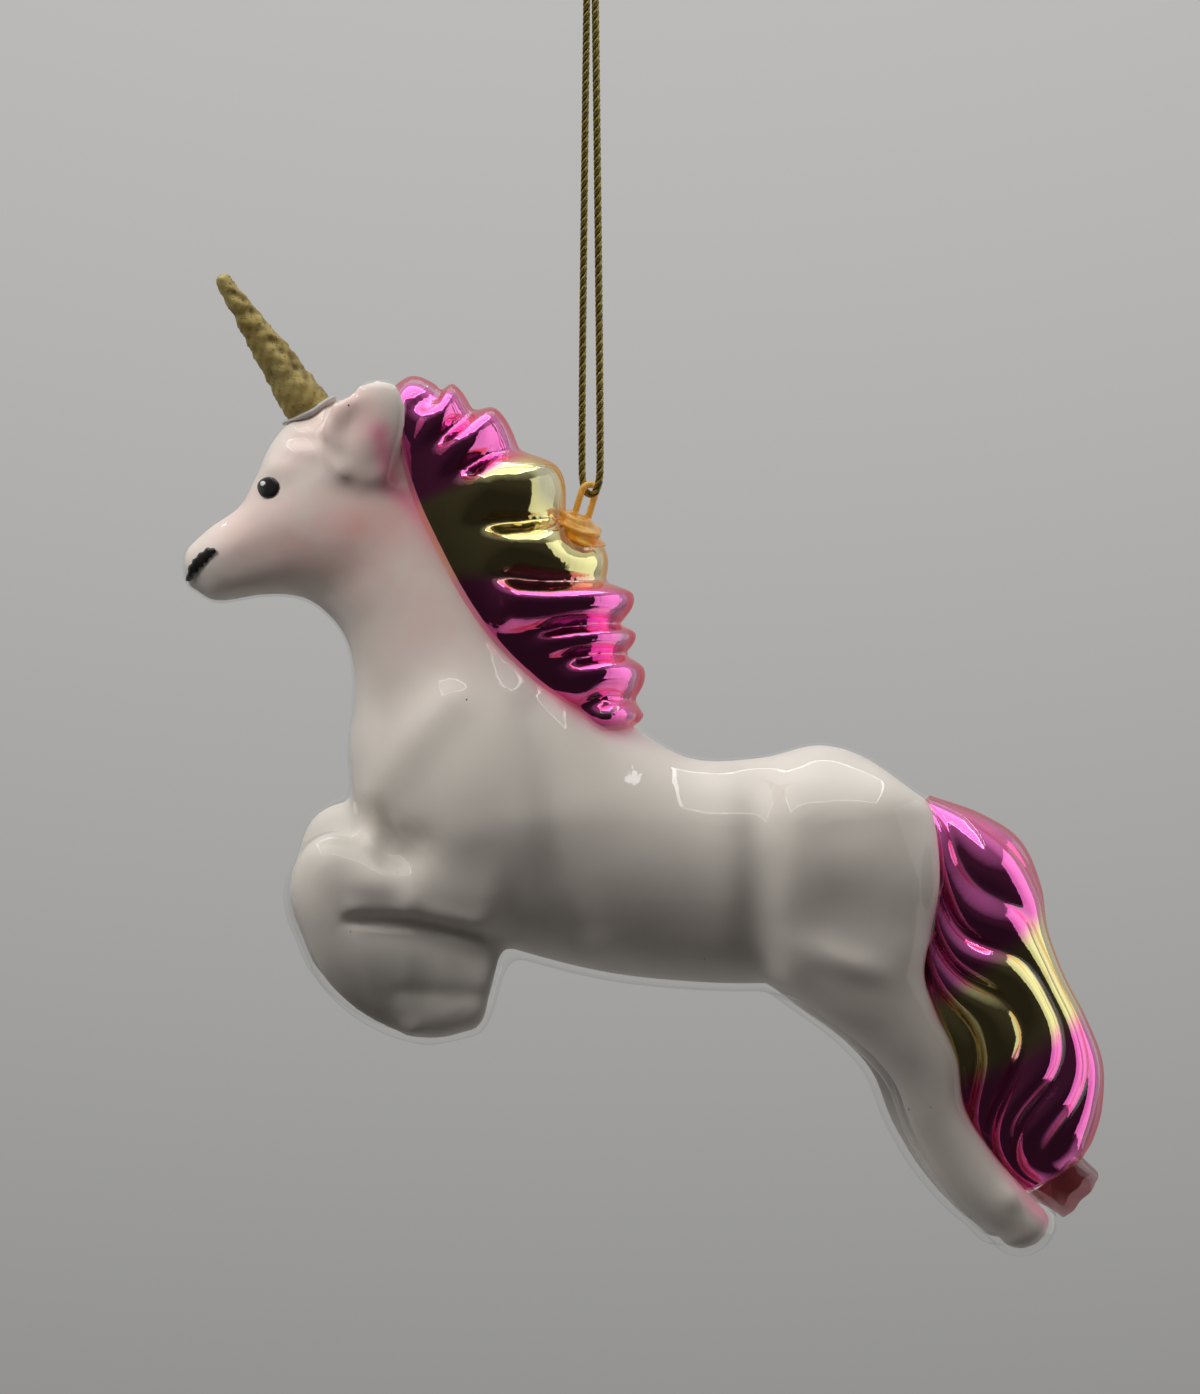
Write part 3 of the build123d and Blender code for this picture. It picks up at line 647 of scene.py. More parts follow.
def bodySkin(grid, level):
    points, faces = skinOf(grid, level)
    points = relax(points, faces, blownBody["relax"])
    return points + normalsOf(points, faces) * bodyRelief(points)[:, None], faces


whole = bodyGrid()
outer, outerFaces = bodySkin(whole, 0.0)
bodyGlass = meshPiece("bodyGlass", toFrame(outer), outerFaces, glassClear, "enamelled_glass")
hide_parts("body_shell")

thick = np.interp(-whole["axes"][2], [-z for z in blownBody["wallTurn"]], blownBody["wall"])
inner, innerFaces = bodySkin(whole, -thick)
bodyEnamel = meshPiece("bodyEnamel", toFrame(inner), innerFaces, enamelWhite, "enamelled_glass")
innerX, innerZ = inner[:, 0], inner[:, 2]
edgeSpray = 0
for line, (strength, reach) in ((maneLine, blownBody["maneSpray"]), (tailLine, blownBody["tailSpray"])):
    edgeSpray = edgeSpray + strength * np.exp(-(nearStroke(innerX, innerZ, line) / reach)**2)
paint(bodyEnamel, "blush", np.clip(spread(blushPlaces, innerX, innerZ), 0, blownBody["mostBlush"]))
paint(bodyEnamel, "spray", np.clip(edgeSpray, 0, blownBody["mostSpray"]))
# greyish mask: thin paint together with painted shade in the dents, creases, lower legs and under the barrel
paint(bodyEnamel, "thinPaintAndShade", spread(thinAndShadedPlaces, innerX, innerZ))
print("body:", len(outerFaces), "outer and", len(innerFaces), "inner faces")


# Mane: rolled locks that swell out of a smooth base, on both sides of the neck and over its crest

mane = {
    "step": 0.5, "wall": 0.8, "caps": (3.0, 2.6), "relax": 3,
    "gridLow": (-34, -14, -38), "gridHigh": (14, 14, 20),
    "base": [
        (-23.4, 13.4, -28.6, 3.4, 6.2), (-19.4, 12.0, -28.2, -0.4, 6.2),
        (-15.2, 9.4, -27.8, -4.4, 6.8), (-11.0, 6.0, -27.2, -7.4, 7.6),
        (-7.4, 2.2, -26.0, -10.6, 8.2), (-4.4, -2.2, -24.2, -14.4, 8.8),
        (-1.4, -7.0, -22.2, -17.6, 9.4), (1.2, -11.4, -20.2, -20.6, 9.8),
        (3.2, -15.8, -17.8, -23.8, 10.0), (4.2, -20.4, -14.6, -27.0, 10.0),
        (5.0, -25.0, -11.0, -29.8, 9.6), (5.8, -28.6, -6.6, -31.8, 8.8),
    ],
    # the tucked-in line above each lock, from the root to the crest, its height and where its root end fades
    "tucks": [
        ([(-30.0, 15.0), (-24.0, 17.0), (-18.0, 20.0)], 1.3, -27.0),
        ([(-24.4, 9.6), (-20.5, 11.4), (-19.4, 13.9)], 2.0, -24.5),
        ([(-21.6, 5.0), (-17.3, 8.1), (-14.8, 10.8)], 2.5, -22.0),
        ([(-18.6, 1.2), (-13.3, 4.0), (-8.6, 4.9)], 2.9, -19.0),
        ([(-15.0, -5.5), (-9.3, -5.2), (-3.6, -4.0)], 3.1, -16.0),
        ([(-14.4, -12.2), (-6.7, -13.1), (2.6, -12.7)], 3.0, -15.0),
        ([(-8.4, -19.6), (-2.7, -18.8), (5.1, -18.4)], 2.1, -9.4),
        ([(-5.0, -23.2), (0.0, -22.5), (5.0, -22.4)], 2.4, -5.8),
        ([(-3.0, -29.4), (1.3, -28.2), (7.0, -28.6)], 1.7, -3.4),
        ([(-4.0, -36.0), (1.3, -36.0), (8.0, -36.0)], 0.5, -3.4),
    ],
    "rise": 0.36, "swellUp": 1.3, "swellDown": 0.9, "rootFade": 5.0, "leastGap": 0.6,
    "crestEase": 0.72, "crestHalf": 4.0,
    # where the gob sits and presses the locks flat: (x, z), reach, share
    "gobSeat": ((-2.2, -6.4), 2.4, 0.8),
    "bare": [
        ((-6.0, 0.6), 1.1, 1.7, 3.2), ((2.6, -8.8), 1.1, 1.3, 3.0), ((4.2, -19.0), 0.9, 1.6, 2.8),
        ((5.9, -27.0), 0.8, 1.3, 2.6),
    ],
    "goldTop": ((-20.0, -1.2), (-9.3, 3.9)), "goldFoot": ((-16.7, -12.5), (2.0, -13.2)), "fade": 0.9,
}


def lockWave(points):
    # each lock swells quickly under the tuck above it, then falls slowly to the next one
    x, y, z = points.T
    lines = []
    for (ax, az), (bx, bz), (cx, cz) in (tuck[0] for tuck in mane["tucks"]):
        slope = np.where(x < bx, (bz - az) / (bx - ax), (cz - bz) / (cx - bx))
        lines.append(bz + (x - bx) * slope)
    wave = np.zeros(len(points))
    # the outline over the crest swells less than the two sides
    ease = mane["crestEase"] + (1 - mane["crestEase"]) * np.clip(np.abs(y) / mane["crestHalf"], 0, 1)
    for above, below, tuck in zip(lines, lines[1:], mane["tucks"]):
        height, root = tuck[1:]
        u = (above - z) / np.maximum(above - below, mane["leastGap"])
        here = (u >= 0) & (u < 1)
        up = np.clip(u / mane["rise"], 0, 1)
        down = np.clip((u - mane["rise"]) / (1 - mane["rise"]), 0, 1)
        swell = np.sin(up * math.pi / 2)**mane["swellUp"] * np.cos(down * math.pi / 2)**mane["swellDown"]
        fade = np.clip((x - root) / mane["rootFade"], 0, 1)
        wave += np.where(here, height * swell * fade**2 * (3 - 2 * fade), 0)
    (gx, gz), reach, press = mane["gobSeat"]
    seat = 1 - press * np.exp(-((x - gx)**2 + (z - gz)**2) / (2 * reach**2))
    return wave * ease * seat


def aboveLine(x, z, line, fade):
    (ax, az), (bx, bz) = line
    return np.clip(0.5 + (z - az - (x - ax) * (bz - az) / (bx - ax)) / fade / 2, 0, 1)


def silverPiece(name, points, faces, look, material):
    piece = meshPiece(name, toFrame(points), faces, material, "silvered_glass")
    x, z = points[:, 0], points[:, 2]
    top, foot = (aboveLine(x, z, look[edge], look["fade"]) for edge in ("goldTop", "goldFoot"))
    paint(piece, "gold", (1 - top) * foot)
    # windows that the silver left bare
    paint(piece, "bare", np.clip(1.6 * spread(look["bare"], x, z) - 0.5, 0, 0.85))
    print(name, len(faces), "faces")
    return piece


def manePiece(name, level, material):
    points, faces = skinOf(maneGrid, level)
    return silverPiece(name, relax(points, faces, mane["relax"]), faces, mane, material)


maneGrid = newGrid(mane["gridLow"], mane["gridHigh"], mane["step"])
maneBox, maneBase = limbField(mane["base"], mane["caps"])
fuse(maneGrid, (maneBox, lambda points: maneBase(points) - lockWave(points)), 1.0)
maneGlass = manePiece("maneGlass", 0.0, glassStained)
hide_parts("mane_shell")
maneLining = manePiece("maneLining", -mane["wall"], liningSilver)


# Tail: a swept lock with round ridges and sharp valleys that sway down its length

tail = {
    "rows": [
        (45.6, -41.4, 42.0, -46.0, 5.0), (52.4, -43.8, 41.6, -53.0, 7.6),
        (57.8, -47.4, 41.6, -59.4, 9.4), (60.6, -53.4, 42.0, -65.0, 10.2),
        (61.6, -59.4, 43.0, -70.2, 10.2), (63.8, -65.4, 44.4, -74.8, 9.8),
        (66.8, -71.2, 45.6, -79.2, 9.6), (69.1, -77.2, 47.0, -83.6, 9.2),
        (69.1, -83.2, 49.2, -88.0, 8.2), (68.0, -87.4, 52.4, -92.2, 6.8),
        (66.8, -89.6, 56.4, -95.2, 5.0),
    ],
    "steps": 12, "round": 216, "flutes": 11, "depth": 1.0, "shallow": 0.22, "wall": 0.7, "bare": [],
    # the sway's angle, turns and start, then how uneven the flutes are and how round their valleys
    "sway": (0.62, 1.35, 0.2), "uneven": 0.10, "valley": 0.02, "ridge": 1.7, "drop": 1.15,
    # how the flutes fade: share at the end, and its growth along the tail
    "dockFade": (0.35, 5), "footFade": (0.1, 3.5),
    "goldTop": ((47.3, -67.2), (61.3, -56.5)), "goldFoot": ((49.3, -79.2), (66.7, -70.5)), "fade": 1.6,
}


def tailSkin(inset):
    rows = smoothRows(tail["rows"], tail["steps"])
    around = roundTurn(tail["round"])
    lean = np.where(np.sin(around) < 0, 1.0, -1.0)
    angle, turns, start = tail["sway"]
    (dock, dockGrowth), (foot, footGrowth) = tail["dockFade"], tail["footFade"]
    rings = []
    for number, (hx, hz, lx, lz, half, y) in enumerate(rows):
        t = number / (len(rows) - 1)
        tall = math.hypot(hx - lx, hz - lz) / 2
        ux, uz = (hx - lx) / (2 * tall), (hz - lz) / (2 * tall)
        sway = angle * math.sin(2 * math.pi * t * turns + start) * np.abs(np.sin(around)) * lean
        turn = around + sway + tail["uneven"] * np.sin(3 * around + 1.0)
        crest = np.sqrt(np.cos(tail["flutes"] / 2 * turn)**2 + tail["valley"])
        # shallow over the back, deep below
        under = np.clip(0.85 - 0.9 * np.cos(around), 0, 1)
        deep = tail["depth"] * (tail["shallow"] + (1 - tail["shallow"]) * under)
        fade = min(1.0, foot + footGrowth * (1 - t)) * min(1.0, dock + dockGrowth * t)
        wave = deep * (tail["ridge"] * crest - tail["drop"]) * fade
        a = (tall + wave - inset) * np.cos(around)
        b = (half + wave - inset) * np.sin(around)
        rings.append(np.stack([(hx + lx) / 2 + a * ux, y + b, (hz + lz) / 2 + a * uz], 1))
    points, faces = ringMesh(rings, turned=True)
    count, last = tail["round"], len(points)
    for k in range(count):
        n = (k + 1) % count
        faces += [(last, k, n), (last + 1, last - count + n, last - count + k)]
    return np.vstack([points, rings[0].mean(0), rings[-1].mean(0)]), faces


tailGlass = silverPiece("tailGlass", *tailSkin(0.0), tail, glassStained)
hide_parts("tail_shell")
tailLining = silverPiece("tailLining", *tailSkin(tail["wall"]), tail, liningSilver)


# Blowpipe stub: an open tube, cracked off a little unevenly

stub = {
    "end": (66.3, -95.2), "slope": -38.0, "round": 48,
    # the broken rim: where it starts, how far it falls back, and its waves
    "chipped": -1.0, "fallBack": 0.1, "chips": [(0.18, 3, 0.6), (0.1, 7, 0.0)],
    # the wall's section, as places along the tube and radii
    "profile": [(-5.6, 4.3), (-4.2, 4.55), (-2.6, 4.1), (-1.2, 3.95), (-0.25, 3.98),
                (0.0, 3.75), (-0.05, 3.0), (-0.3, 2.8), (-2.5, 2.75), (-5.6, 3.1)],
}


def stubPiece():
    slope = math.radians(stub["slope"])
    ahead = np.array([math.cos(slope), 0, math.sin(slope)])
    side = np.array([0, 1.0, 0])
    over = np.cross(ahead, side)
    end = np.array([stub["end"][0], 0, stub["end"][1]])
    around = roundTurn(stub["round"])
    chip = waves(around, stub["chips"]) - stub["fallBack"]
    rings = []
    for along, radius in stub["profile"]:
        shift = along + (chip if along > stub["chipped"] else 0 * chip)
        rings.append(ringAt(end + ahead * shift[:, None], side, over, radius, radius, around))
    points, faces = ringMesh(rings, closed=True)
    return meshPiece("stubTube", toFrame(points), faces, glassStub, "stub_glass")


stubTube = stubPiece()
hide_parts("blowpipe_stub")


# Painted face and horn, laid on the body's own surface

bodyTree = BVHTree.FromPolygons(outer.tolist(), outerFaces.tolist())


def onCheek(x, z, side):
    place, normal = bodyTree.ray_cast(Vector((x, side * 30.0, z)), Vector((0, -side, 0)))[:2]
    return np.array(place), np.array(normal)


def enamelSpot(name, node, centre, radius, side, relief, material, slot):
    lift, dome, rough = relief
    rings = []
    for share in paintedFace["shares"]:
        ring = []
        for turn in roundTurn(paintedFace["round"]):
            size = radius * share * (1 + rough * waves(turn, paintedFace["wobble"]))
            x, z = centre[0] + size * math.cos(turn), centre[1] + size * math.sin(turn)
            place, normal = onCheek(x, z, side)
            height = lift + dome * math.sqrt(max(0, 1 - share**2)) if share <= 1 else -paintedFace["tuck"]
            ring.append(place + normal * height)
        rings.append(np.array(ring))
    points, faces = ringMesh(rings)
    faces.append(tuple(range(paintedFace["round"] - 1, -1, -1)))
    piece = meshPiece(name, toFrame(points), flipped(faces) if side < 0 else faces, material, slot)
    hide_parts(node)
    return piece


paintedFace = {
    "eye": (-42.9, -0.9), "eyeRadius": 1.33, "glint": (-0.35, 0.42), "glintRadius": 0.38,
    # lift off the glass, height of the dome, unevenness
    "eyeRelief": (0.02, 0.34, 0.02), "glintRelief": (0.26, 0.14, 0.05),
    "wobble": [(1.0, 3, 1.0), (0.6, 5, 0.0)],
    # points round a spot, its rings as shares of the radius, and how far the rim tucks into the glass
    "round": 28, "shares": (0.12, 0.4, 0.7, 0.9, 1.0, 1.04), "tuck": 0.12,
    "left": [(-53.2, -12.9), (-52.5, -11.4), (-51.6, -10.3), (-50.4, -9.3), (-49.6, -9.1)],
    "leftWidth": [0.30, 0.62, 0.66, 0.56, 0.22],
    "right": [(-52.9, -9.6), (-52.3, -8.6), (-51.4, -7.7), (-50.4, -7.3)],
    "rightWidth": [0.2, 0.4, 0.4, 0.2],
    # places across a nostril's stroke, in shares of its half width, and places along it
    "across": (-1.15, -1.0, -0.6, 0.0, 0.6, 1.0, 1.15), "along": 26,
    "shake": (0.16, 9.0), "strokeLift": 0.06, "strokeDome": 0.24,
}


def nostrilStroke(name, node, line, widths, side):
    fine = np.linspace(0, len(line) - 1, paintedFace["along"])
    x, z = (np.interp(fine, range(len(line)), [point[k] for point in line]) for k in (0, 1))
    shake, beat = paintedFace["shake"]
    width = np.interp(fine, range(len(line)), widths) * (1 + shake * np.sin(fine * beat))
    across = np.stack([-np.gradient(z), np.gradient(x)], 1)
    across /= np.linalg.norm(across, axis=1)[:, None]
    points = []
    for number in range(len(fine)):
        for share in paintedFace["across"]:
            px = x[number] + across[number, 0] * share * width[number]
            pz = z[number] + across[number, 1] * share * width[number]
            place, normal = onCheek(px, pz, side)
            crown = paintedFace["strokeLift"] + paintedFace["strokeDome"] * (1 - share**2)
            points.append(place + normal * (crown if abs(share) <= 1 else -paintedFace["tuck"]))
    count = len(paintedFace["across"])
    starts = [number * count + k for number in range(len(fine) - 1) for k in range(count - 1)]
    faces = [(a, a + 1, a + count + 1, a + count) for a in starts]
    faces = flipped(faces) if side > 0 else faces
    piece = meshPiece(name, toFrame(points), faces, enamelBlack, "black_enamel")
    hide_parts(node)
    return piece


for word, side in (("left", -1), ("right", 1)):
    eye = paintedFace["eye"]
    glint = (eye[0] + paintedFace["glint"][0], eye[1] + paintedFace["glint"][1])
    enamelSpot(word + "Eye", word + "_eye", eye, paintedFace["eyeRadius"], side,
               paintedFace["eyeRelief"], enamelBlack, "black_enamel")
    enamelSpot(word + "Glint", word + "_eye_glint", glint, paintedFace["glintRadius"], side,
               paintedFace["glintRelief"], enamelDot, "white_enamel")
    nostrilStroke(word + "Nostril", word + "_nostril", paintedFace[word], paintedFace[word + "Width"], side)

horn = {
    "foot": (-36.6, 8.6), "tip": (-49.1, 27.2), "footRadius": 3.3, "tipRadius": 0.95, "turns": 4.6,
    "ridge": 0.12, "lump": 0.15, "steps": 110, "round": 72, "sink": 3.0,
    # share of the length where the tip rounds off, and the share that it takes
    "roundFrom": 0.965, "roundOver": 0.037,
    # dents: share of the length, turn round the horn in degrees, depth, size in mm
    "dents": [
        (0.86, 200, 0.55, 0.75), (0.80, 225, 0.4, 0.6), (0.71, 215, 0.5, 0.8), (0.62, 240, 0.35, 0.6),
        (0.52, 205, 0.6, 0.7), (0.49, 228, 0.45, 0.6), (0.43, 212, 0.55, 0.8), (0.36, 235, 0.5, 0.9),
        (0.30, 218, 0.55, 0.7), (0.27, 245, 0.4, 0.8), (0.20, 225, 0.45, 1.0), (0.14, 250, 0.4, 0.9),
        (0.66, 20, 0.5, 0.8), (0.45, 60, 0.45, 0.9), (0.28, 330, 0.5, 1.0), (0.55, 300, 0.35, 0.9),
        (0.77, 110, 0.4, 0.7), (0.35, 130, 0.45, 1.0),
    ],
}
# bead of glue: points round the horn and round the bead, its size and lumps, and where the rays start from
glue = {"round": 64, "roll": 12, "size": 0.55, "lumps": [(0.22, 2, 0.8), (0.12, 5, 0.0)],
        "wide": 1.15, "tall": 0.72, "above": 12, "clear": 0.1}


def hornFrame():
    foot, tip = (np.array([horn[name][0], 0, horn[name][1]]) for name in ("foot", "tip"))
    length = np.linalg.norm(tip - foot)
    axis = (tip - foot) / length
    side = np.array([0, 1.0, 0])
    return foot, axis, side, np.cross(axis, side), length


def hornPiece():
    foot, axis, side, over, length = hornFrame()
    around = roundTurn(horn["round"])
    rings, grooveShade = [], []
    for number in range(horn["steps"] + 1):
        along = -horn["sink"] + (length + horn["sink"]) * (number / horn["steps"])
        share = max(0.0, along / length)
        radius = horn["footRadius"] * (1 - share) + horn["tipRadius"] * share
        if share > horn["roundFrom"]:
            radius *= math.sqrt(max(0.02, 1 - ((share - horn["roundFrom"]) / horn["roundOver"])**2))
        wrap = around + 2 * math.pi * horn["turns"] * share
        wind = np.abs(np.sin(wrap / 2 + 0.9 * np.sin(9 * share) + 0.5 * np.sin(around)))**0.6
        lump = np.sin(2 * around + 23 * share) * np.sin(31 * share + 1.7 * np.cos(around))
        lump = lump + 0.5 * np.sin(5 * around + 57 * share) * np.sin(19 * share + 1)
        lump = lump + 0.3 * np.sin(7 * around - 83 * share)
        size = radius + (horn["ridge"] * 2 * (wind - 0.6) + horn["lump"] * lump) * (1 - 0.4 * share)
        pit = np.zeros(len(around))
        for at, degrees, depth, spot in horn["dents"]:
            bow = (around - math.radians(degrees) + math.pi) % (2 * math.pi) - math.pi
            pit += depth * np.exp(-(((share - at) * length / spot)**2 + (bow * radius / spot)**2))
        size = size - pit * min(1.0, radius / 1.6)
        rings.append(ringAt(foot + axis * along, side, over, size, size, around))
        # painted shade: a mask that is darker in the spiral's valleys and in the dents
        grooveShade.append(np.clip(0.3 * (0.5 - wind) + 1.1 * pit, 0, 0.8))
    points, faces = ringMesh(rings, capped=True)
    piece = meshPiece("hornCone", toFrame(points), faces, goldHorn, "gilt_horn")
    paint(piece, "grooveShade", np.concatenate(grooveShade))
    return piece


hornCone = hornPiece()
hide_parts("horn")


def gluePiece():
    # a smeared bead where the horn meets the forehead
    foot, axis, side, over, length = hornFrame()
    roll = roundTurn(glue["roll"])
    rings = []
    for turn in roundTurn(glue["round"]):
        out = side * math.cos(turn) + over * math.sin(turn)
        start = foot + axis * glue["above"] + out * (horn["footRadius"] + glue["clear"])
        place, normal = bodyTree.ray_cast(Vector(start), Vector(-axis))[:2]
        size = glue["size"] + waves(turn, glue["lumps"])
        wide, tall = glue["wide"] * size, glue["tall"] * size
        rings.append(ringAt(np.array(place), out, np.array(normal), wide, tall, roll))
    points, faces = ringMesh(rings, closed=True)
    return meshPiece("glueBead", toFrame(points), faces, glueGrey, "glue")


glueBead = gluePiece()
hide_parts("horn_glue")
print("face, horn and stub laid on")


# Specks in the enamel and grains in the horn's gold, strewn by Geometry Nodes

def strewTree():
    tree = bpy.data.node_groups.new("strewn grains", "GeometryNodeTree")
    face = tree.interface
    for name, kind in (("Ground", "Geometry"), ("Density", "Float"), ("Least Size", "Float"),
                       ("Most Size", "Float"), ("Sink", "Float"), ("Seed", "Int"), ("Finish", "Material")):
        face.new_socket(name, in_out="INPUT", socket_type="NodeSocket" + kind)
    face.new_socket("Grains", in_out="OUTPUT", socket_type="NodeSocketGeometry")
    given = addNode(tree, "NodeGroupInput").outputs
    ground = {"Mesh": given["Ground"], "Density": given["Density"], "Seed": given["Seed"]}
    strew = addNode(tree, "GeometryNodeDistributePointsOnFaces", ground, distribute_method="RANDOM")
    sizes = {2: given["Least Size"], 3: given["Most Size"], "Seed": given["Seed"]}
    size = addNode(tree, "FunctionNodeRandomValue", sizes, data_type="FLOAT").outputs[1]
    flat = addNode(tree, "ShaderNodeCombineXYZ", {"X": 1.0, "Y": 1.0, "Z": given["Sink"]})
    bulk = addNode(tree, "ShaderNodeVectorMath", {0: flat.outputs[0], "Scale": size}, operation="SCALE")
    grain = addNode(tree, "GeometryNodeMeshIcoSphere", {"Radius": 1.0, "Subdivisions": 1})
    lay = addNode(tree, "GeometryNodeInstanceOnPoints", {
        "Points": strew.outputs["Points"], "Rotation": strew.outputs["Rotation"],
        "Instance": grain.outputs["Mesh"], "Scale": bulk.outputs[0]})
    real = addNode(tree, "GeometryNodeRealizeInstances", {0: lay.outputs["Instances"]}).outputs[0]
    finish = addNode(tree, "GeometryNodeSetMaterial", {"Geometry": real, "Material": given["Finish"]})
    addNode(tree, "NodeGroupOutput", {"Grains": finish.outputs[0]})
    return tree


strewnGrains = strewTree()


def strewOn(name, ground, slot, **values):
    holder = intoScene(name + "Ground", ground.data.copy())
    change = holder.modifiers.new("strew", "NODES")
    change.node_group = strewnGrains
    for socket in strewnGrains.interface.items_tree:
        key = socket.name.replace(" ", "")
        if socket.in_out == "INPUT" and key in values:
            change[socket.identifier] = values[key]
    mesh = meshFrom(holder)
    piece = intoScene(name, mesh)
    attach(piece, "ornament")
    print(name, len(mesh.polygons), "faces")
    return piece


enamelSpecks = strewOn("enamelSpecks", bodyEnamel, "black_enamel", Density=2600.0, LeastSize=0.06 * mm,
                       MostSize=0.17 * mm, Sink=0.5, Seed=11, Finish=enamelBlack)
hornGrains = strewOn("hornGrains", hornCone, "gilt_horn", Density=3.2e6, LeastSize=0.06 * mm,
                     MostSize=0.15 * mm, Sink=0.6, Seed=4, Finish=goldHorn)


# Eyelet gob: hot glass wound round the feet of the eyelet

gob = {"centre": (-2.4, -1.3, -5.9), "size": (4.0, 4.6, 2.1), "pitch": 28.0, "roll": 14.0, "swirl": 0.28,
       "round": 64, "rings": 40}


def gobPiece():
    pitch, roll = math.radians(gob["pitch"]), math.radians(gob["roll"])
    across = np.array([math.cos(pitch), 0, -math.sin(pitch)])
    level = np.array([math.sin(pitch), 0, math.cos(pitch)])
    side = np.array([0, math.cos(roll), 0]) + level * math.sin(roll)
    up = np.cross(across, side)
    around = roundTurn(gob["round"])
    sx, sy, sz = gob["size"]
    rings = []
    for number in range(1, gob["rings"]):
        turn = math.pi * number / gob["rings"]
        ripple = gob["swirl"] * np.sin(2 * around + 9 * turn) + 0.12 * np.sin(5 * around - 7 * turn)
        flat = math.sin(turn) * (1 + ripple * math.sin(turn)**2 * 0.5)
        ring = ringAt(np.array(gob["centre"]), across, side, sx * flat, sy * flat, around)
        rings.append(ring + up * (sz * math.cos(turn) * (1 + 0.5 * ripple * math.sin(turn)))[:, None])
    points, faces = ringMesh(rings, capped=True)
    return meshPiece("eyeletGob", toFrame(points), flipped(faces), glassAmber, "amber_glass")


eyeletGob = gobPiece()
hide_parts("eyelet_gob")
eyeletRod = frame["nodes"]["hanging_eyelet"]
eyeletRod.data.materials.clear()
eyeletRod.data.materials.append(glassAmber)


# Cord: its route is that of the solid, and four plies twist along the spline through it

cord = {
    "drop": 69.5, "diameter": 1.0, "topHalf": 0.65, "spreadHalf": 1.75, "spreadHeight": 4.0, "bight": 1.25,
    "turn": 45.0, "plies": 4, "plyRadius": 0.27, "plyReach": 0.24, "pitch": 2.6, "round": 8, "perTurn": 14,
    "darkPly": 0.75,
}


def cordPoint(along, height):
    turn = math.radians(cord["turn"])
    return (along * math.cos(turn) * mm, -along * math.sin(turn) * mm, height * mm)


def splinePoints(name, points):
    # the smooth line of a NURBS spline through the route's control points
    curve = bpy.data.curves.new(name, "CURVE")
    curve.dimensions = "3D"
    curve.resolution_u = 64
    spline = curve.splines.new("NURBS")
    spline.points.add(len(points) - 1)
    for point, place in zip(spline.points, points):
        point.co = (*place, 1.0)
    spline.order_u = 3
    spline.use_endpoint_u = True
    line = meshFrom(intoScene(name, curve))
    made = np.array([vertex.co[:] for vertex in line.vertices])
    bpy.data.meshes.remove(line)
    return made


def evenly(points, step):
    lengths = np.concatenate([[0], np.cumsum(np.linalg.norm(np.diff(points, axis=0), axis=1))])
    at = np.linspace(0, lengths[-1], max(3, int(lengths[-1] / step)))
    return np.stack([np.interp(at, lengths, points[:, k]) for k in range(3)], 1), lengths[-1]


def plyMesh(path, start=0.0):
    # plies wound round the path, on a frame carried along it without turning
    pitch = cord["pitch"] * mm
    path, length = evenly(path, pitch / cord["perTurn"])
    ahead = np.gradient(path, axis=0)
    ahead /= np.linalg.norm(ahead, axis=1)[:, None]
    side = np.cross(ahead[0], (0.3, 0.2, 0.9))
    side /= np.linalg.norm(side)
    sides = []
    for direction in ahead:
        side = side - direction * (side @ direction)
        side = side / np.linalg.norm(side)
        sides.append(side)
    sides = np.array(sides)
    overs = np.cross(ahead, sides)
    travel = np.linspace(0, length, len(path)) / pitch * 2 * math.pi
    parts, dark = [], []
    for ply in range(cord["plies"]):
        turn = travel + start + 2 * math.pi * ply / cord["plies"]
        offset = sides * np.cos(turn)[:, None] + overs * np.sin(turn)[:, None]
        middle = path + offset * cord["plyReach"] * mm
        lines = [middle + (sides * math.cos(a) + overs * math.sin(a)) * cord["plyRadius"] * mm
                 for a in roundTurn(cord["round"])]
        parts.append(ringMesh(list(np.stack(lines, 1)), capped=True))
        dark.append(np.full(len(parts[-1][0]), cord["darkPly"] if ply % 2 else 0.0))
    return *joined(parts), np.concatenate(dark), path, length


halfRoute = [(cord["topHalf"], 0), (cord["spreadHalf"], cord["spreadHeight"] - cord["drop"]),
             (cord["bight"], -cord["drop"] - cord["bight"])]
backRoute = [(-along, height) for along, height in reversed(halfRoute)]
cordLine = splinePoints("cordRoute", [cordPoint(*point) for point in halfRoute + backRoute])
points, faces, dark, cordPath, cordLength = plyMesh(cordLine)
hangingCord = meshPiece("hangingCord", points, faces, cordThread, "gold_cord", "cord_loop")
paint(hangingCord, "dark", dark)
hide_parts("hanging_cord")

knot = {"wraps": 3, "perWrap": 25, "radius": 1.25, "height": 4.0, "inset": 0.6, "tail": 7.0, "splay": 14.0,
        "bend": 2.2, "start": 0.7}


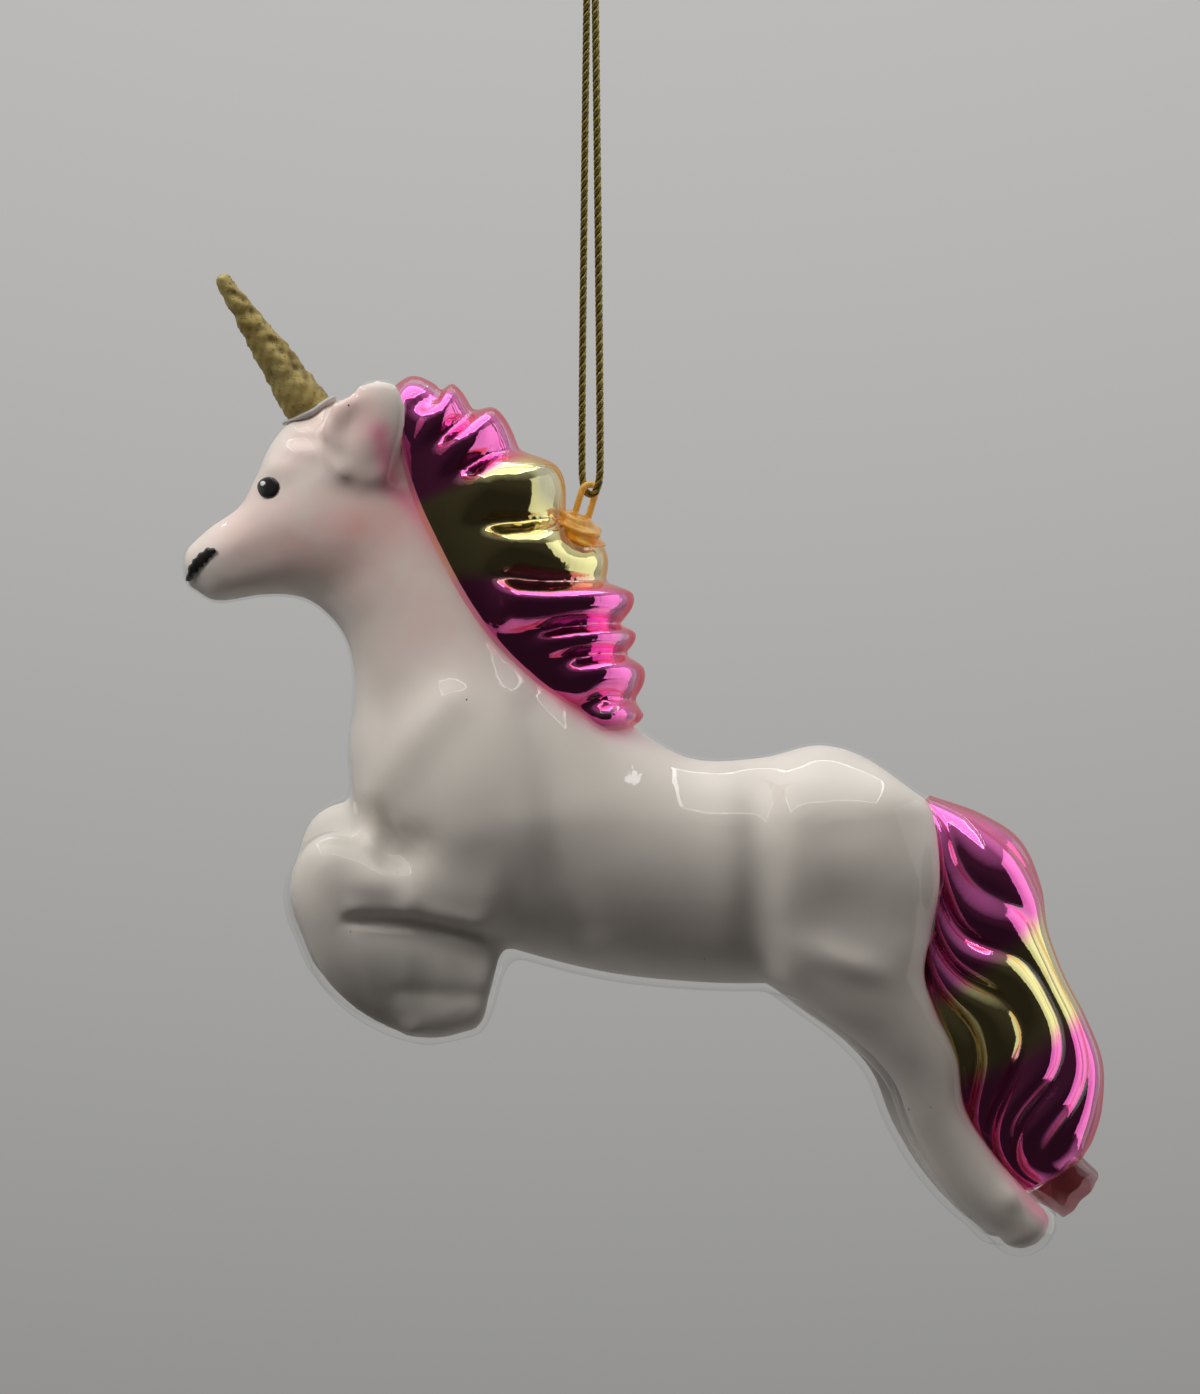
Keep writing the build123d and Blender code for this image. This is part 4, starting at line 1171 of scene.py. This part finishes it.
def knotPiece():
    # the cord wound round itself, with its two cut ends standing out of the top
    wound = []
    steps = knot["perWrap"] * knot["wraps"]
    for number in range(steps + 1):
        turn = 2 * math.pi * number / knot["perWrap"]
        height = knot["inset"] + (knot["height"] - 2 * knot["inset"]) * number / steps
        wound.append((knot["radius"] * math.cos(turn), knot["radius"] * math.sin(turn), height))
    runs = [wound]
    lean = math.tan(math.radians(knot["splay"]))
    for side in (-1, 1):
        foot = side * cord["topHalf"]
        runs.append([(foot, 0, 0), (foot, 0, 0.6 * knot["height"]),
                     (foot + side * lean * knot["bend"], 0, knot["height"] + knot["bend"]),
                     (foot + side * lean * knot["tail"], 0.3, knot["height"] + knot["tail"] - 1)])
    parts, darks = [], []
    for run in runs:
        made = plyMesh(splinePoints("knotRun", np.array(run) * mm), knot["start"])
        parts.append(made[:2])
        darks.append(made[2])
    piece = meshPiece("cordKnot", *joined(parts), cordThread, "gold_cord", "hanger")
    paint(piece, "dark", np.concatenate(darks))
    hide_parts("cord_knot")
    return piece


cordKnot = knotPiece()
[tuple(point) for point in cordPath[::12]]
print("cord length", round(cordLength * 1000, 1), "mm")


# Floor, light and camera

studio = {
    "floorDrop": 0.30, "floorRadius": 0.55, "floorRound": 96, "turn": 6.0,
    # the camera's distance, the middle of its view, and the view's height: pixels over pixels per mm
    "distance": 0.48, "middle": (1.2, -28.2), "tall": 1394 / 7.52, "sensor": 24.0,
    # name, place, target, size, power, seen in the glass
    "lamps": [
        ("overheadPanel", (0.0, -0.02, 0.26), (0.0, -0.02, -0.1), (0.52, 0.40), 0.62, True),
        ("stripNear", (0.0, -0.225, 0.255), (0.0, -0.225, -0.1), (0.52, 0.012), 0.10, True),
        ("stripFar", (0.0, 0.185, 0.255), (0.0, 0.185, -0.1), (0.52, 0.012), 0.10, True),
        ("stripNose", (-0.265, -0.02, 0.255), (-0.265, -0.02, -0.1), (0.012, 0.40), 0.10, True),
        ("stripTail", (0.265, -0.02, 0.255), (0.265, -0.02, -0.1), (0.012, 0.40), 0.10, True),
        ("noseKey", (-0.25, -0.20, 0.15), (-0.03, 0.0, -0.09), (0.12, 0.12), 0.72, False),
        ("tailSide", (0.42, 0.02, -0.10), (0.05, 0.0, -0.13), (0.40, 0.50), 0.45, True),
        ("frontFill", (-0.15, -0.55, 0.05), (0.0, 0.0, -0.1), (0.5, 0.5), 0.24, False),
    ],
}


def floorShade(tree):
    # a pale floor that fades out at its rim and towards the camera
    place = addNode(tree, "ShaderNodeTexCoord").outputs["Object"]
    flat = addNode(tree, "ShaderNodeMapping", {"Vector": place, "Scale": (1.0, 1.0, 0.0)})
    reach = addNode(tree, "ShaderNodeVectorMath", {0: flat.outputs[0]}, operation="LENGTH")
    split = addNode(tree, "ShaderNodeSeparateXYZ", {0: place})
    solid = product(tree, sharpen(tree, reach.outputs["Value"], 0.25, 0.52, 1.0, 0.0),
                    sharpen(tree, split.outputs["Y"], -0.10, 0.06))
    values = {"Base Color": (0.46, 0.455, 0.45, 1.0), "Roughness": 0.9, "Alpha": solid}
    return addNode(tree, "ShaderNodeBsdfPrincipled", values).outputs[0]


def floorDisc():
    reach, height = studio["floorRadius"], float(rod[2]) - studio["floorDrop"]
    ring = [(reach * math.cos(a), reach * math.sin(a), height) for a in roundTurn(studio["floorRound"])]
    mesh = bpy.data.meshes.new("studioFloor")
    mesh.from_pydata(ring, [], [tuple(range(studio["floorRound"]))])
    mesh.materials.append(newMaterial("pale studio floor", floorShade))
    floor = intoScene("studioFloor", mesh)


def areaLamp(name, place, target, size, power, shown):
    lamp = bpy.data.lights.new(name, "AREA")
    lamp.shape = "RECTANGLE"
    lamp.size, lamp.size_y = size
    lamp.energy = power
    holder = intoScene(name, lamp)
    holder.location = place
    holder.rotation_euler = (Vector(target) - Vector(place)).to_track_quat("-Z", "Y").to_euler()
    holder.visible_camera = False
    holder.visible_glossy = shown


def studioWorld(turn):
    # a light tent: pale grey behind the object, dim on the camera's side, brighter overhead
    world = bpy.data.worlds.new("light tent")
    bpy.context.scene.world = world
    world.use_nodes = True
    tree = world.node_tree
    tree.nodes.clear()
    place = addNode(tree, "ShaderNodeTexCoord").outputs["Generated"]
    values = {0: place, 1: (math.sin(turn), math.cos(turn), 0.04)}
    ahead = addNode(tree, "ShaderNodeVectorMath", values, operation="DOT_PRODUCT")
    ramp = addNode(tree, "ShaderNodeValToRGB", {"Fac": sharpen(tree, ahead.outputs["Value"], -1.0, 1.0)})
    stops = ramp.color_ramp.elements
    stops[0].color = (0.028, 0.025, 0.024, 1)
    stops[1].color = (0.46, 0.455, 0.445, 1)
    stops.new(0.44).color = (0.034, 0.028, 0.027, 1)
    for position, level in ((0.58, 0.30), (0.75, 0.40), (0.97, 0.42)):
        stops.new(position).color = (level, level * 0.99, level * 0.975, 1)
    height = addNode(tree, "ShaderNodeSeparateXYZ", {0: place}).outputs["Z"]
    over = sharpen(tree, height, 0.35, 0.9, 0.0, 0.30)
    fall = sharpen(tree, height, -0.26, 0.2, 0.58, 1.12)
    wall = mixColour(tree, 1.0, ramp.outputs["Color"], fall, "MULTIPLY")
    glow = addNode(tree, "ShaderNodeBackground", {"Color": mixColour(tree, 1.0, wall, over, "ADD")})
    addNode(tree, "ShaderNodeOutputWorld", {"Surface": glow.outputs[0]})


viewTurn = math.radians(studio["turn"])
floorDisc()
studioWorld(viewTurn)
for lamp in studio["lamps"]:
    areaLamp(*lamp)

ahead = Vector((math.sin(viewTurn), math.cos(viewTurn), 0))
aim = Vector(toFrame((studio["middle"][0], 0, studio["middle"][1])))
view = bpy.data.cameras.new("photoView")
view.sensor_fit = "VERTICAL"
view.sensor_height = studio["sensor"]
view.lens = view.sensor_height * studio["distance"] / (studio["tall"] * mm)
view.dof.use_dof = False
camera = intoScene("photoView", view)
camera.location = aim - ahead * studio["distance"]
camera.rotation_euler = ahead.to_track_quat("-Z", "Y").to_euler()
bpy.context.scene.camera = camera
bpy.context.scene.view_settings.view_transform = "Standard"

print("scene ready")
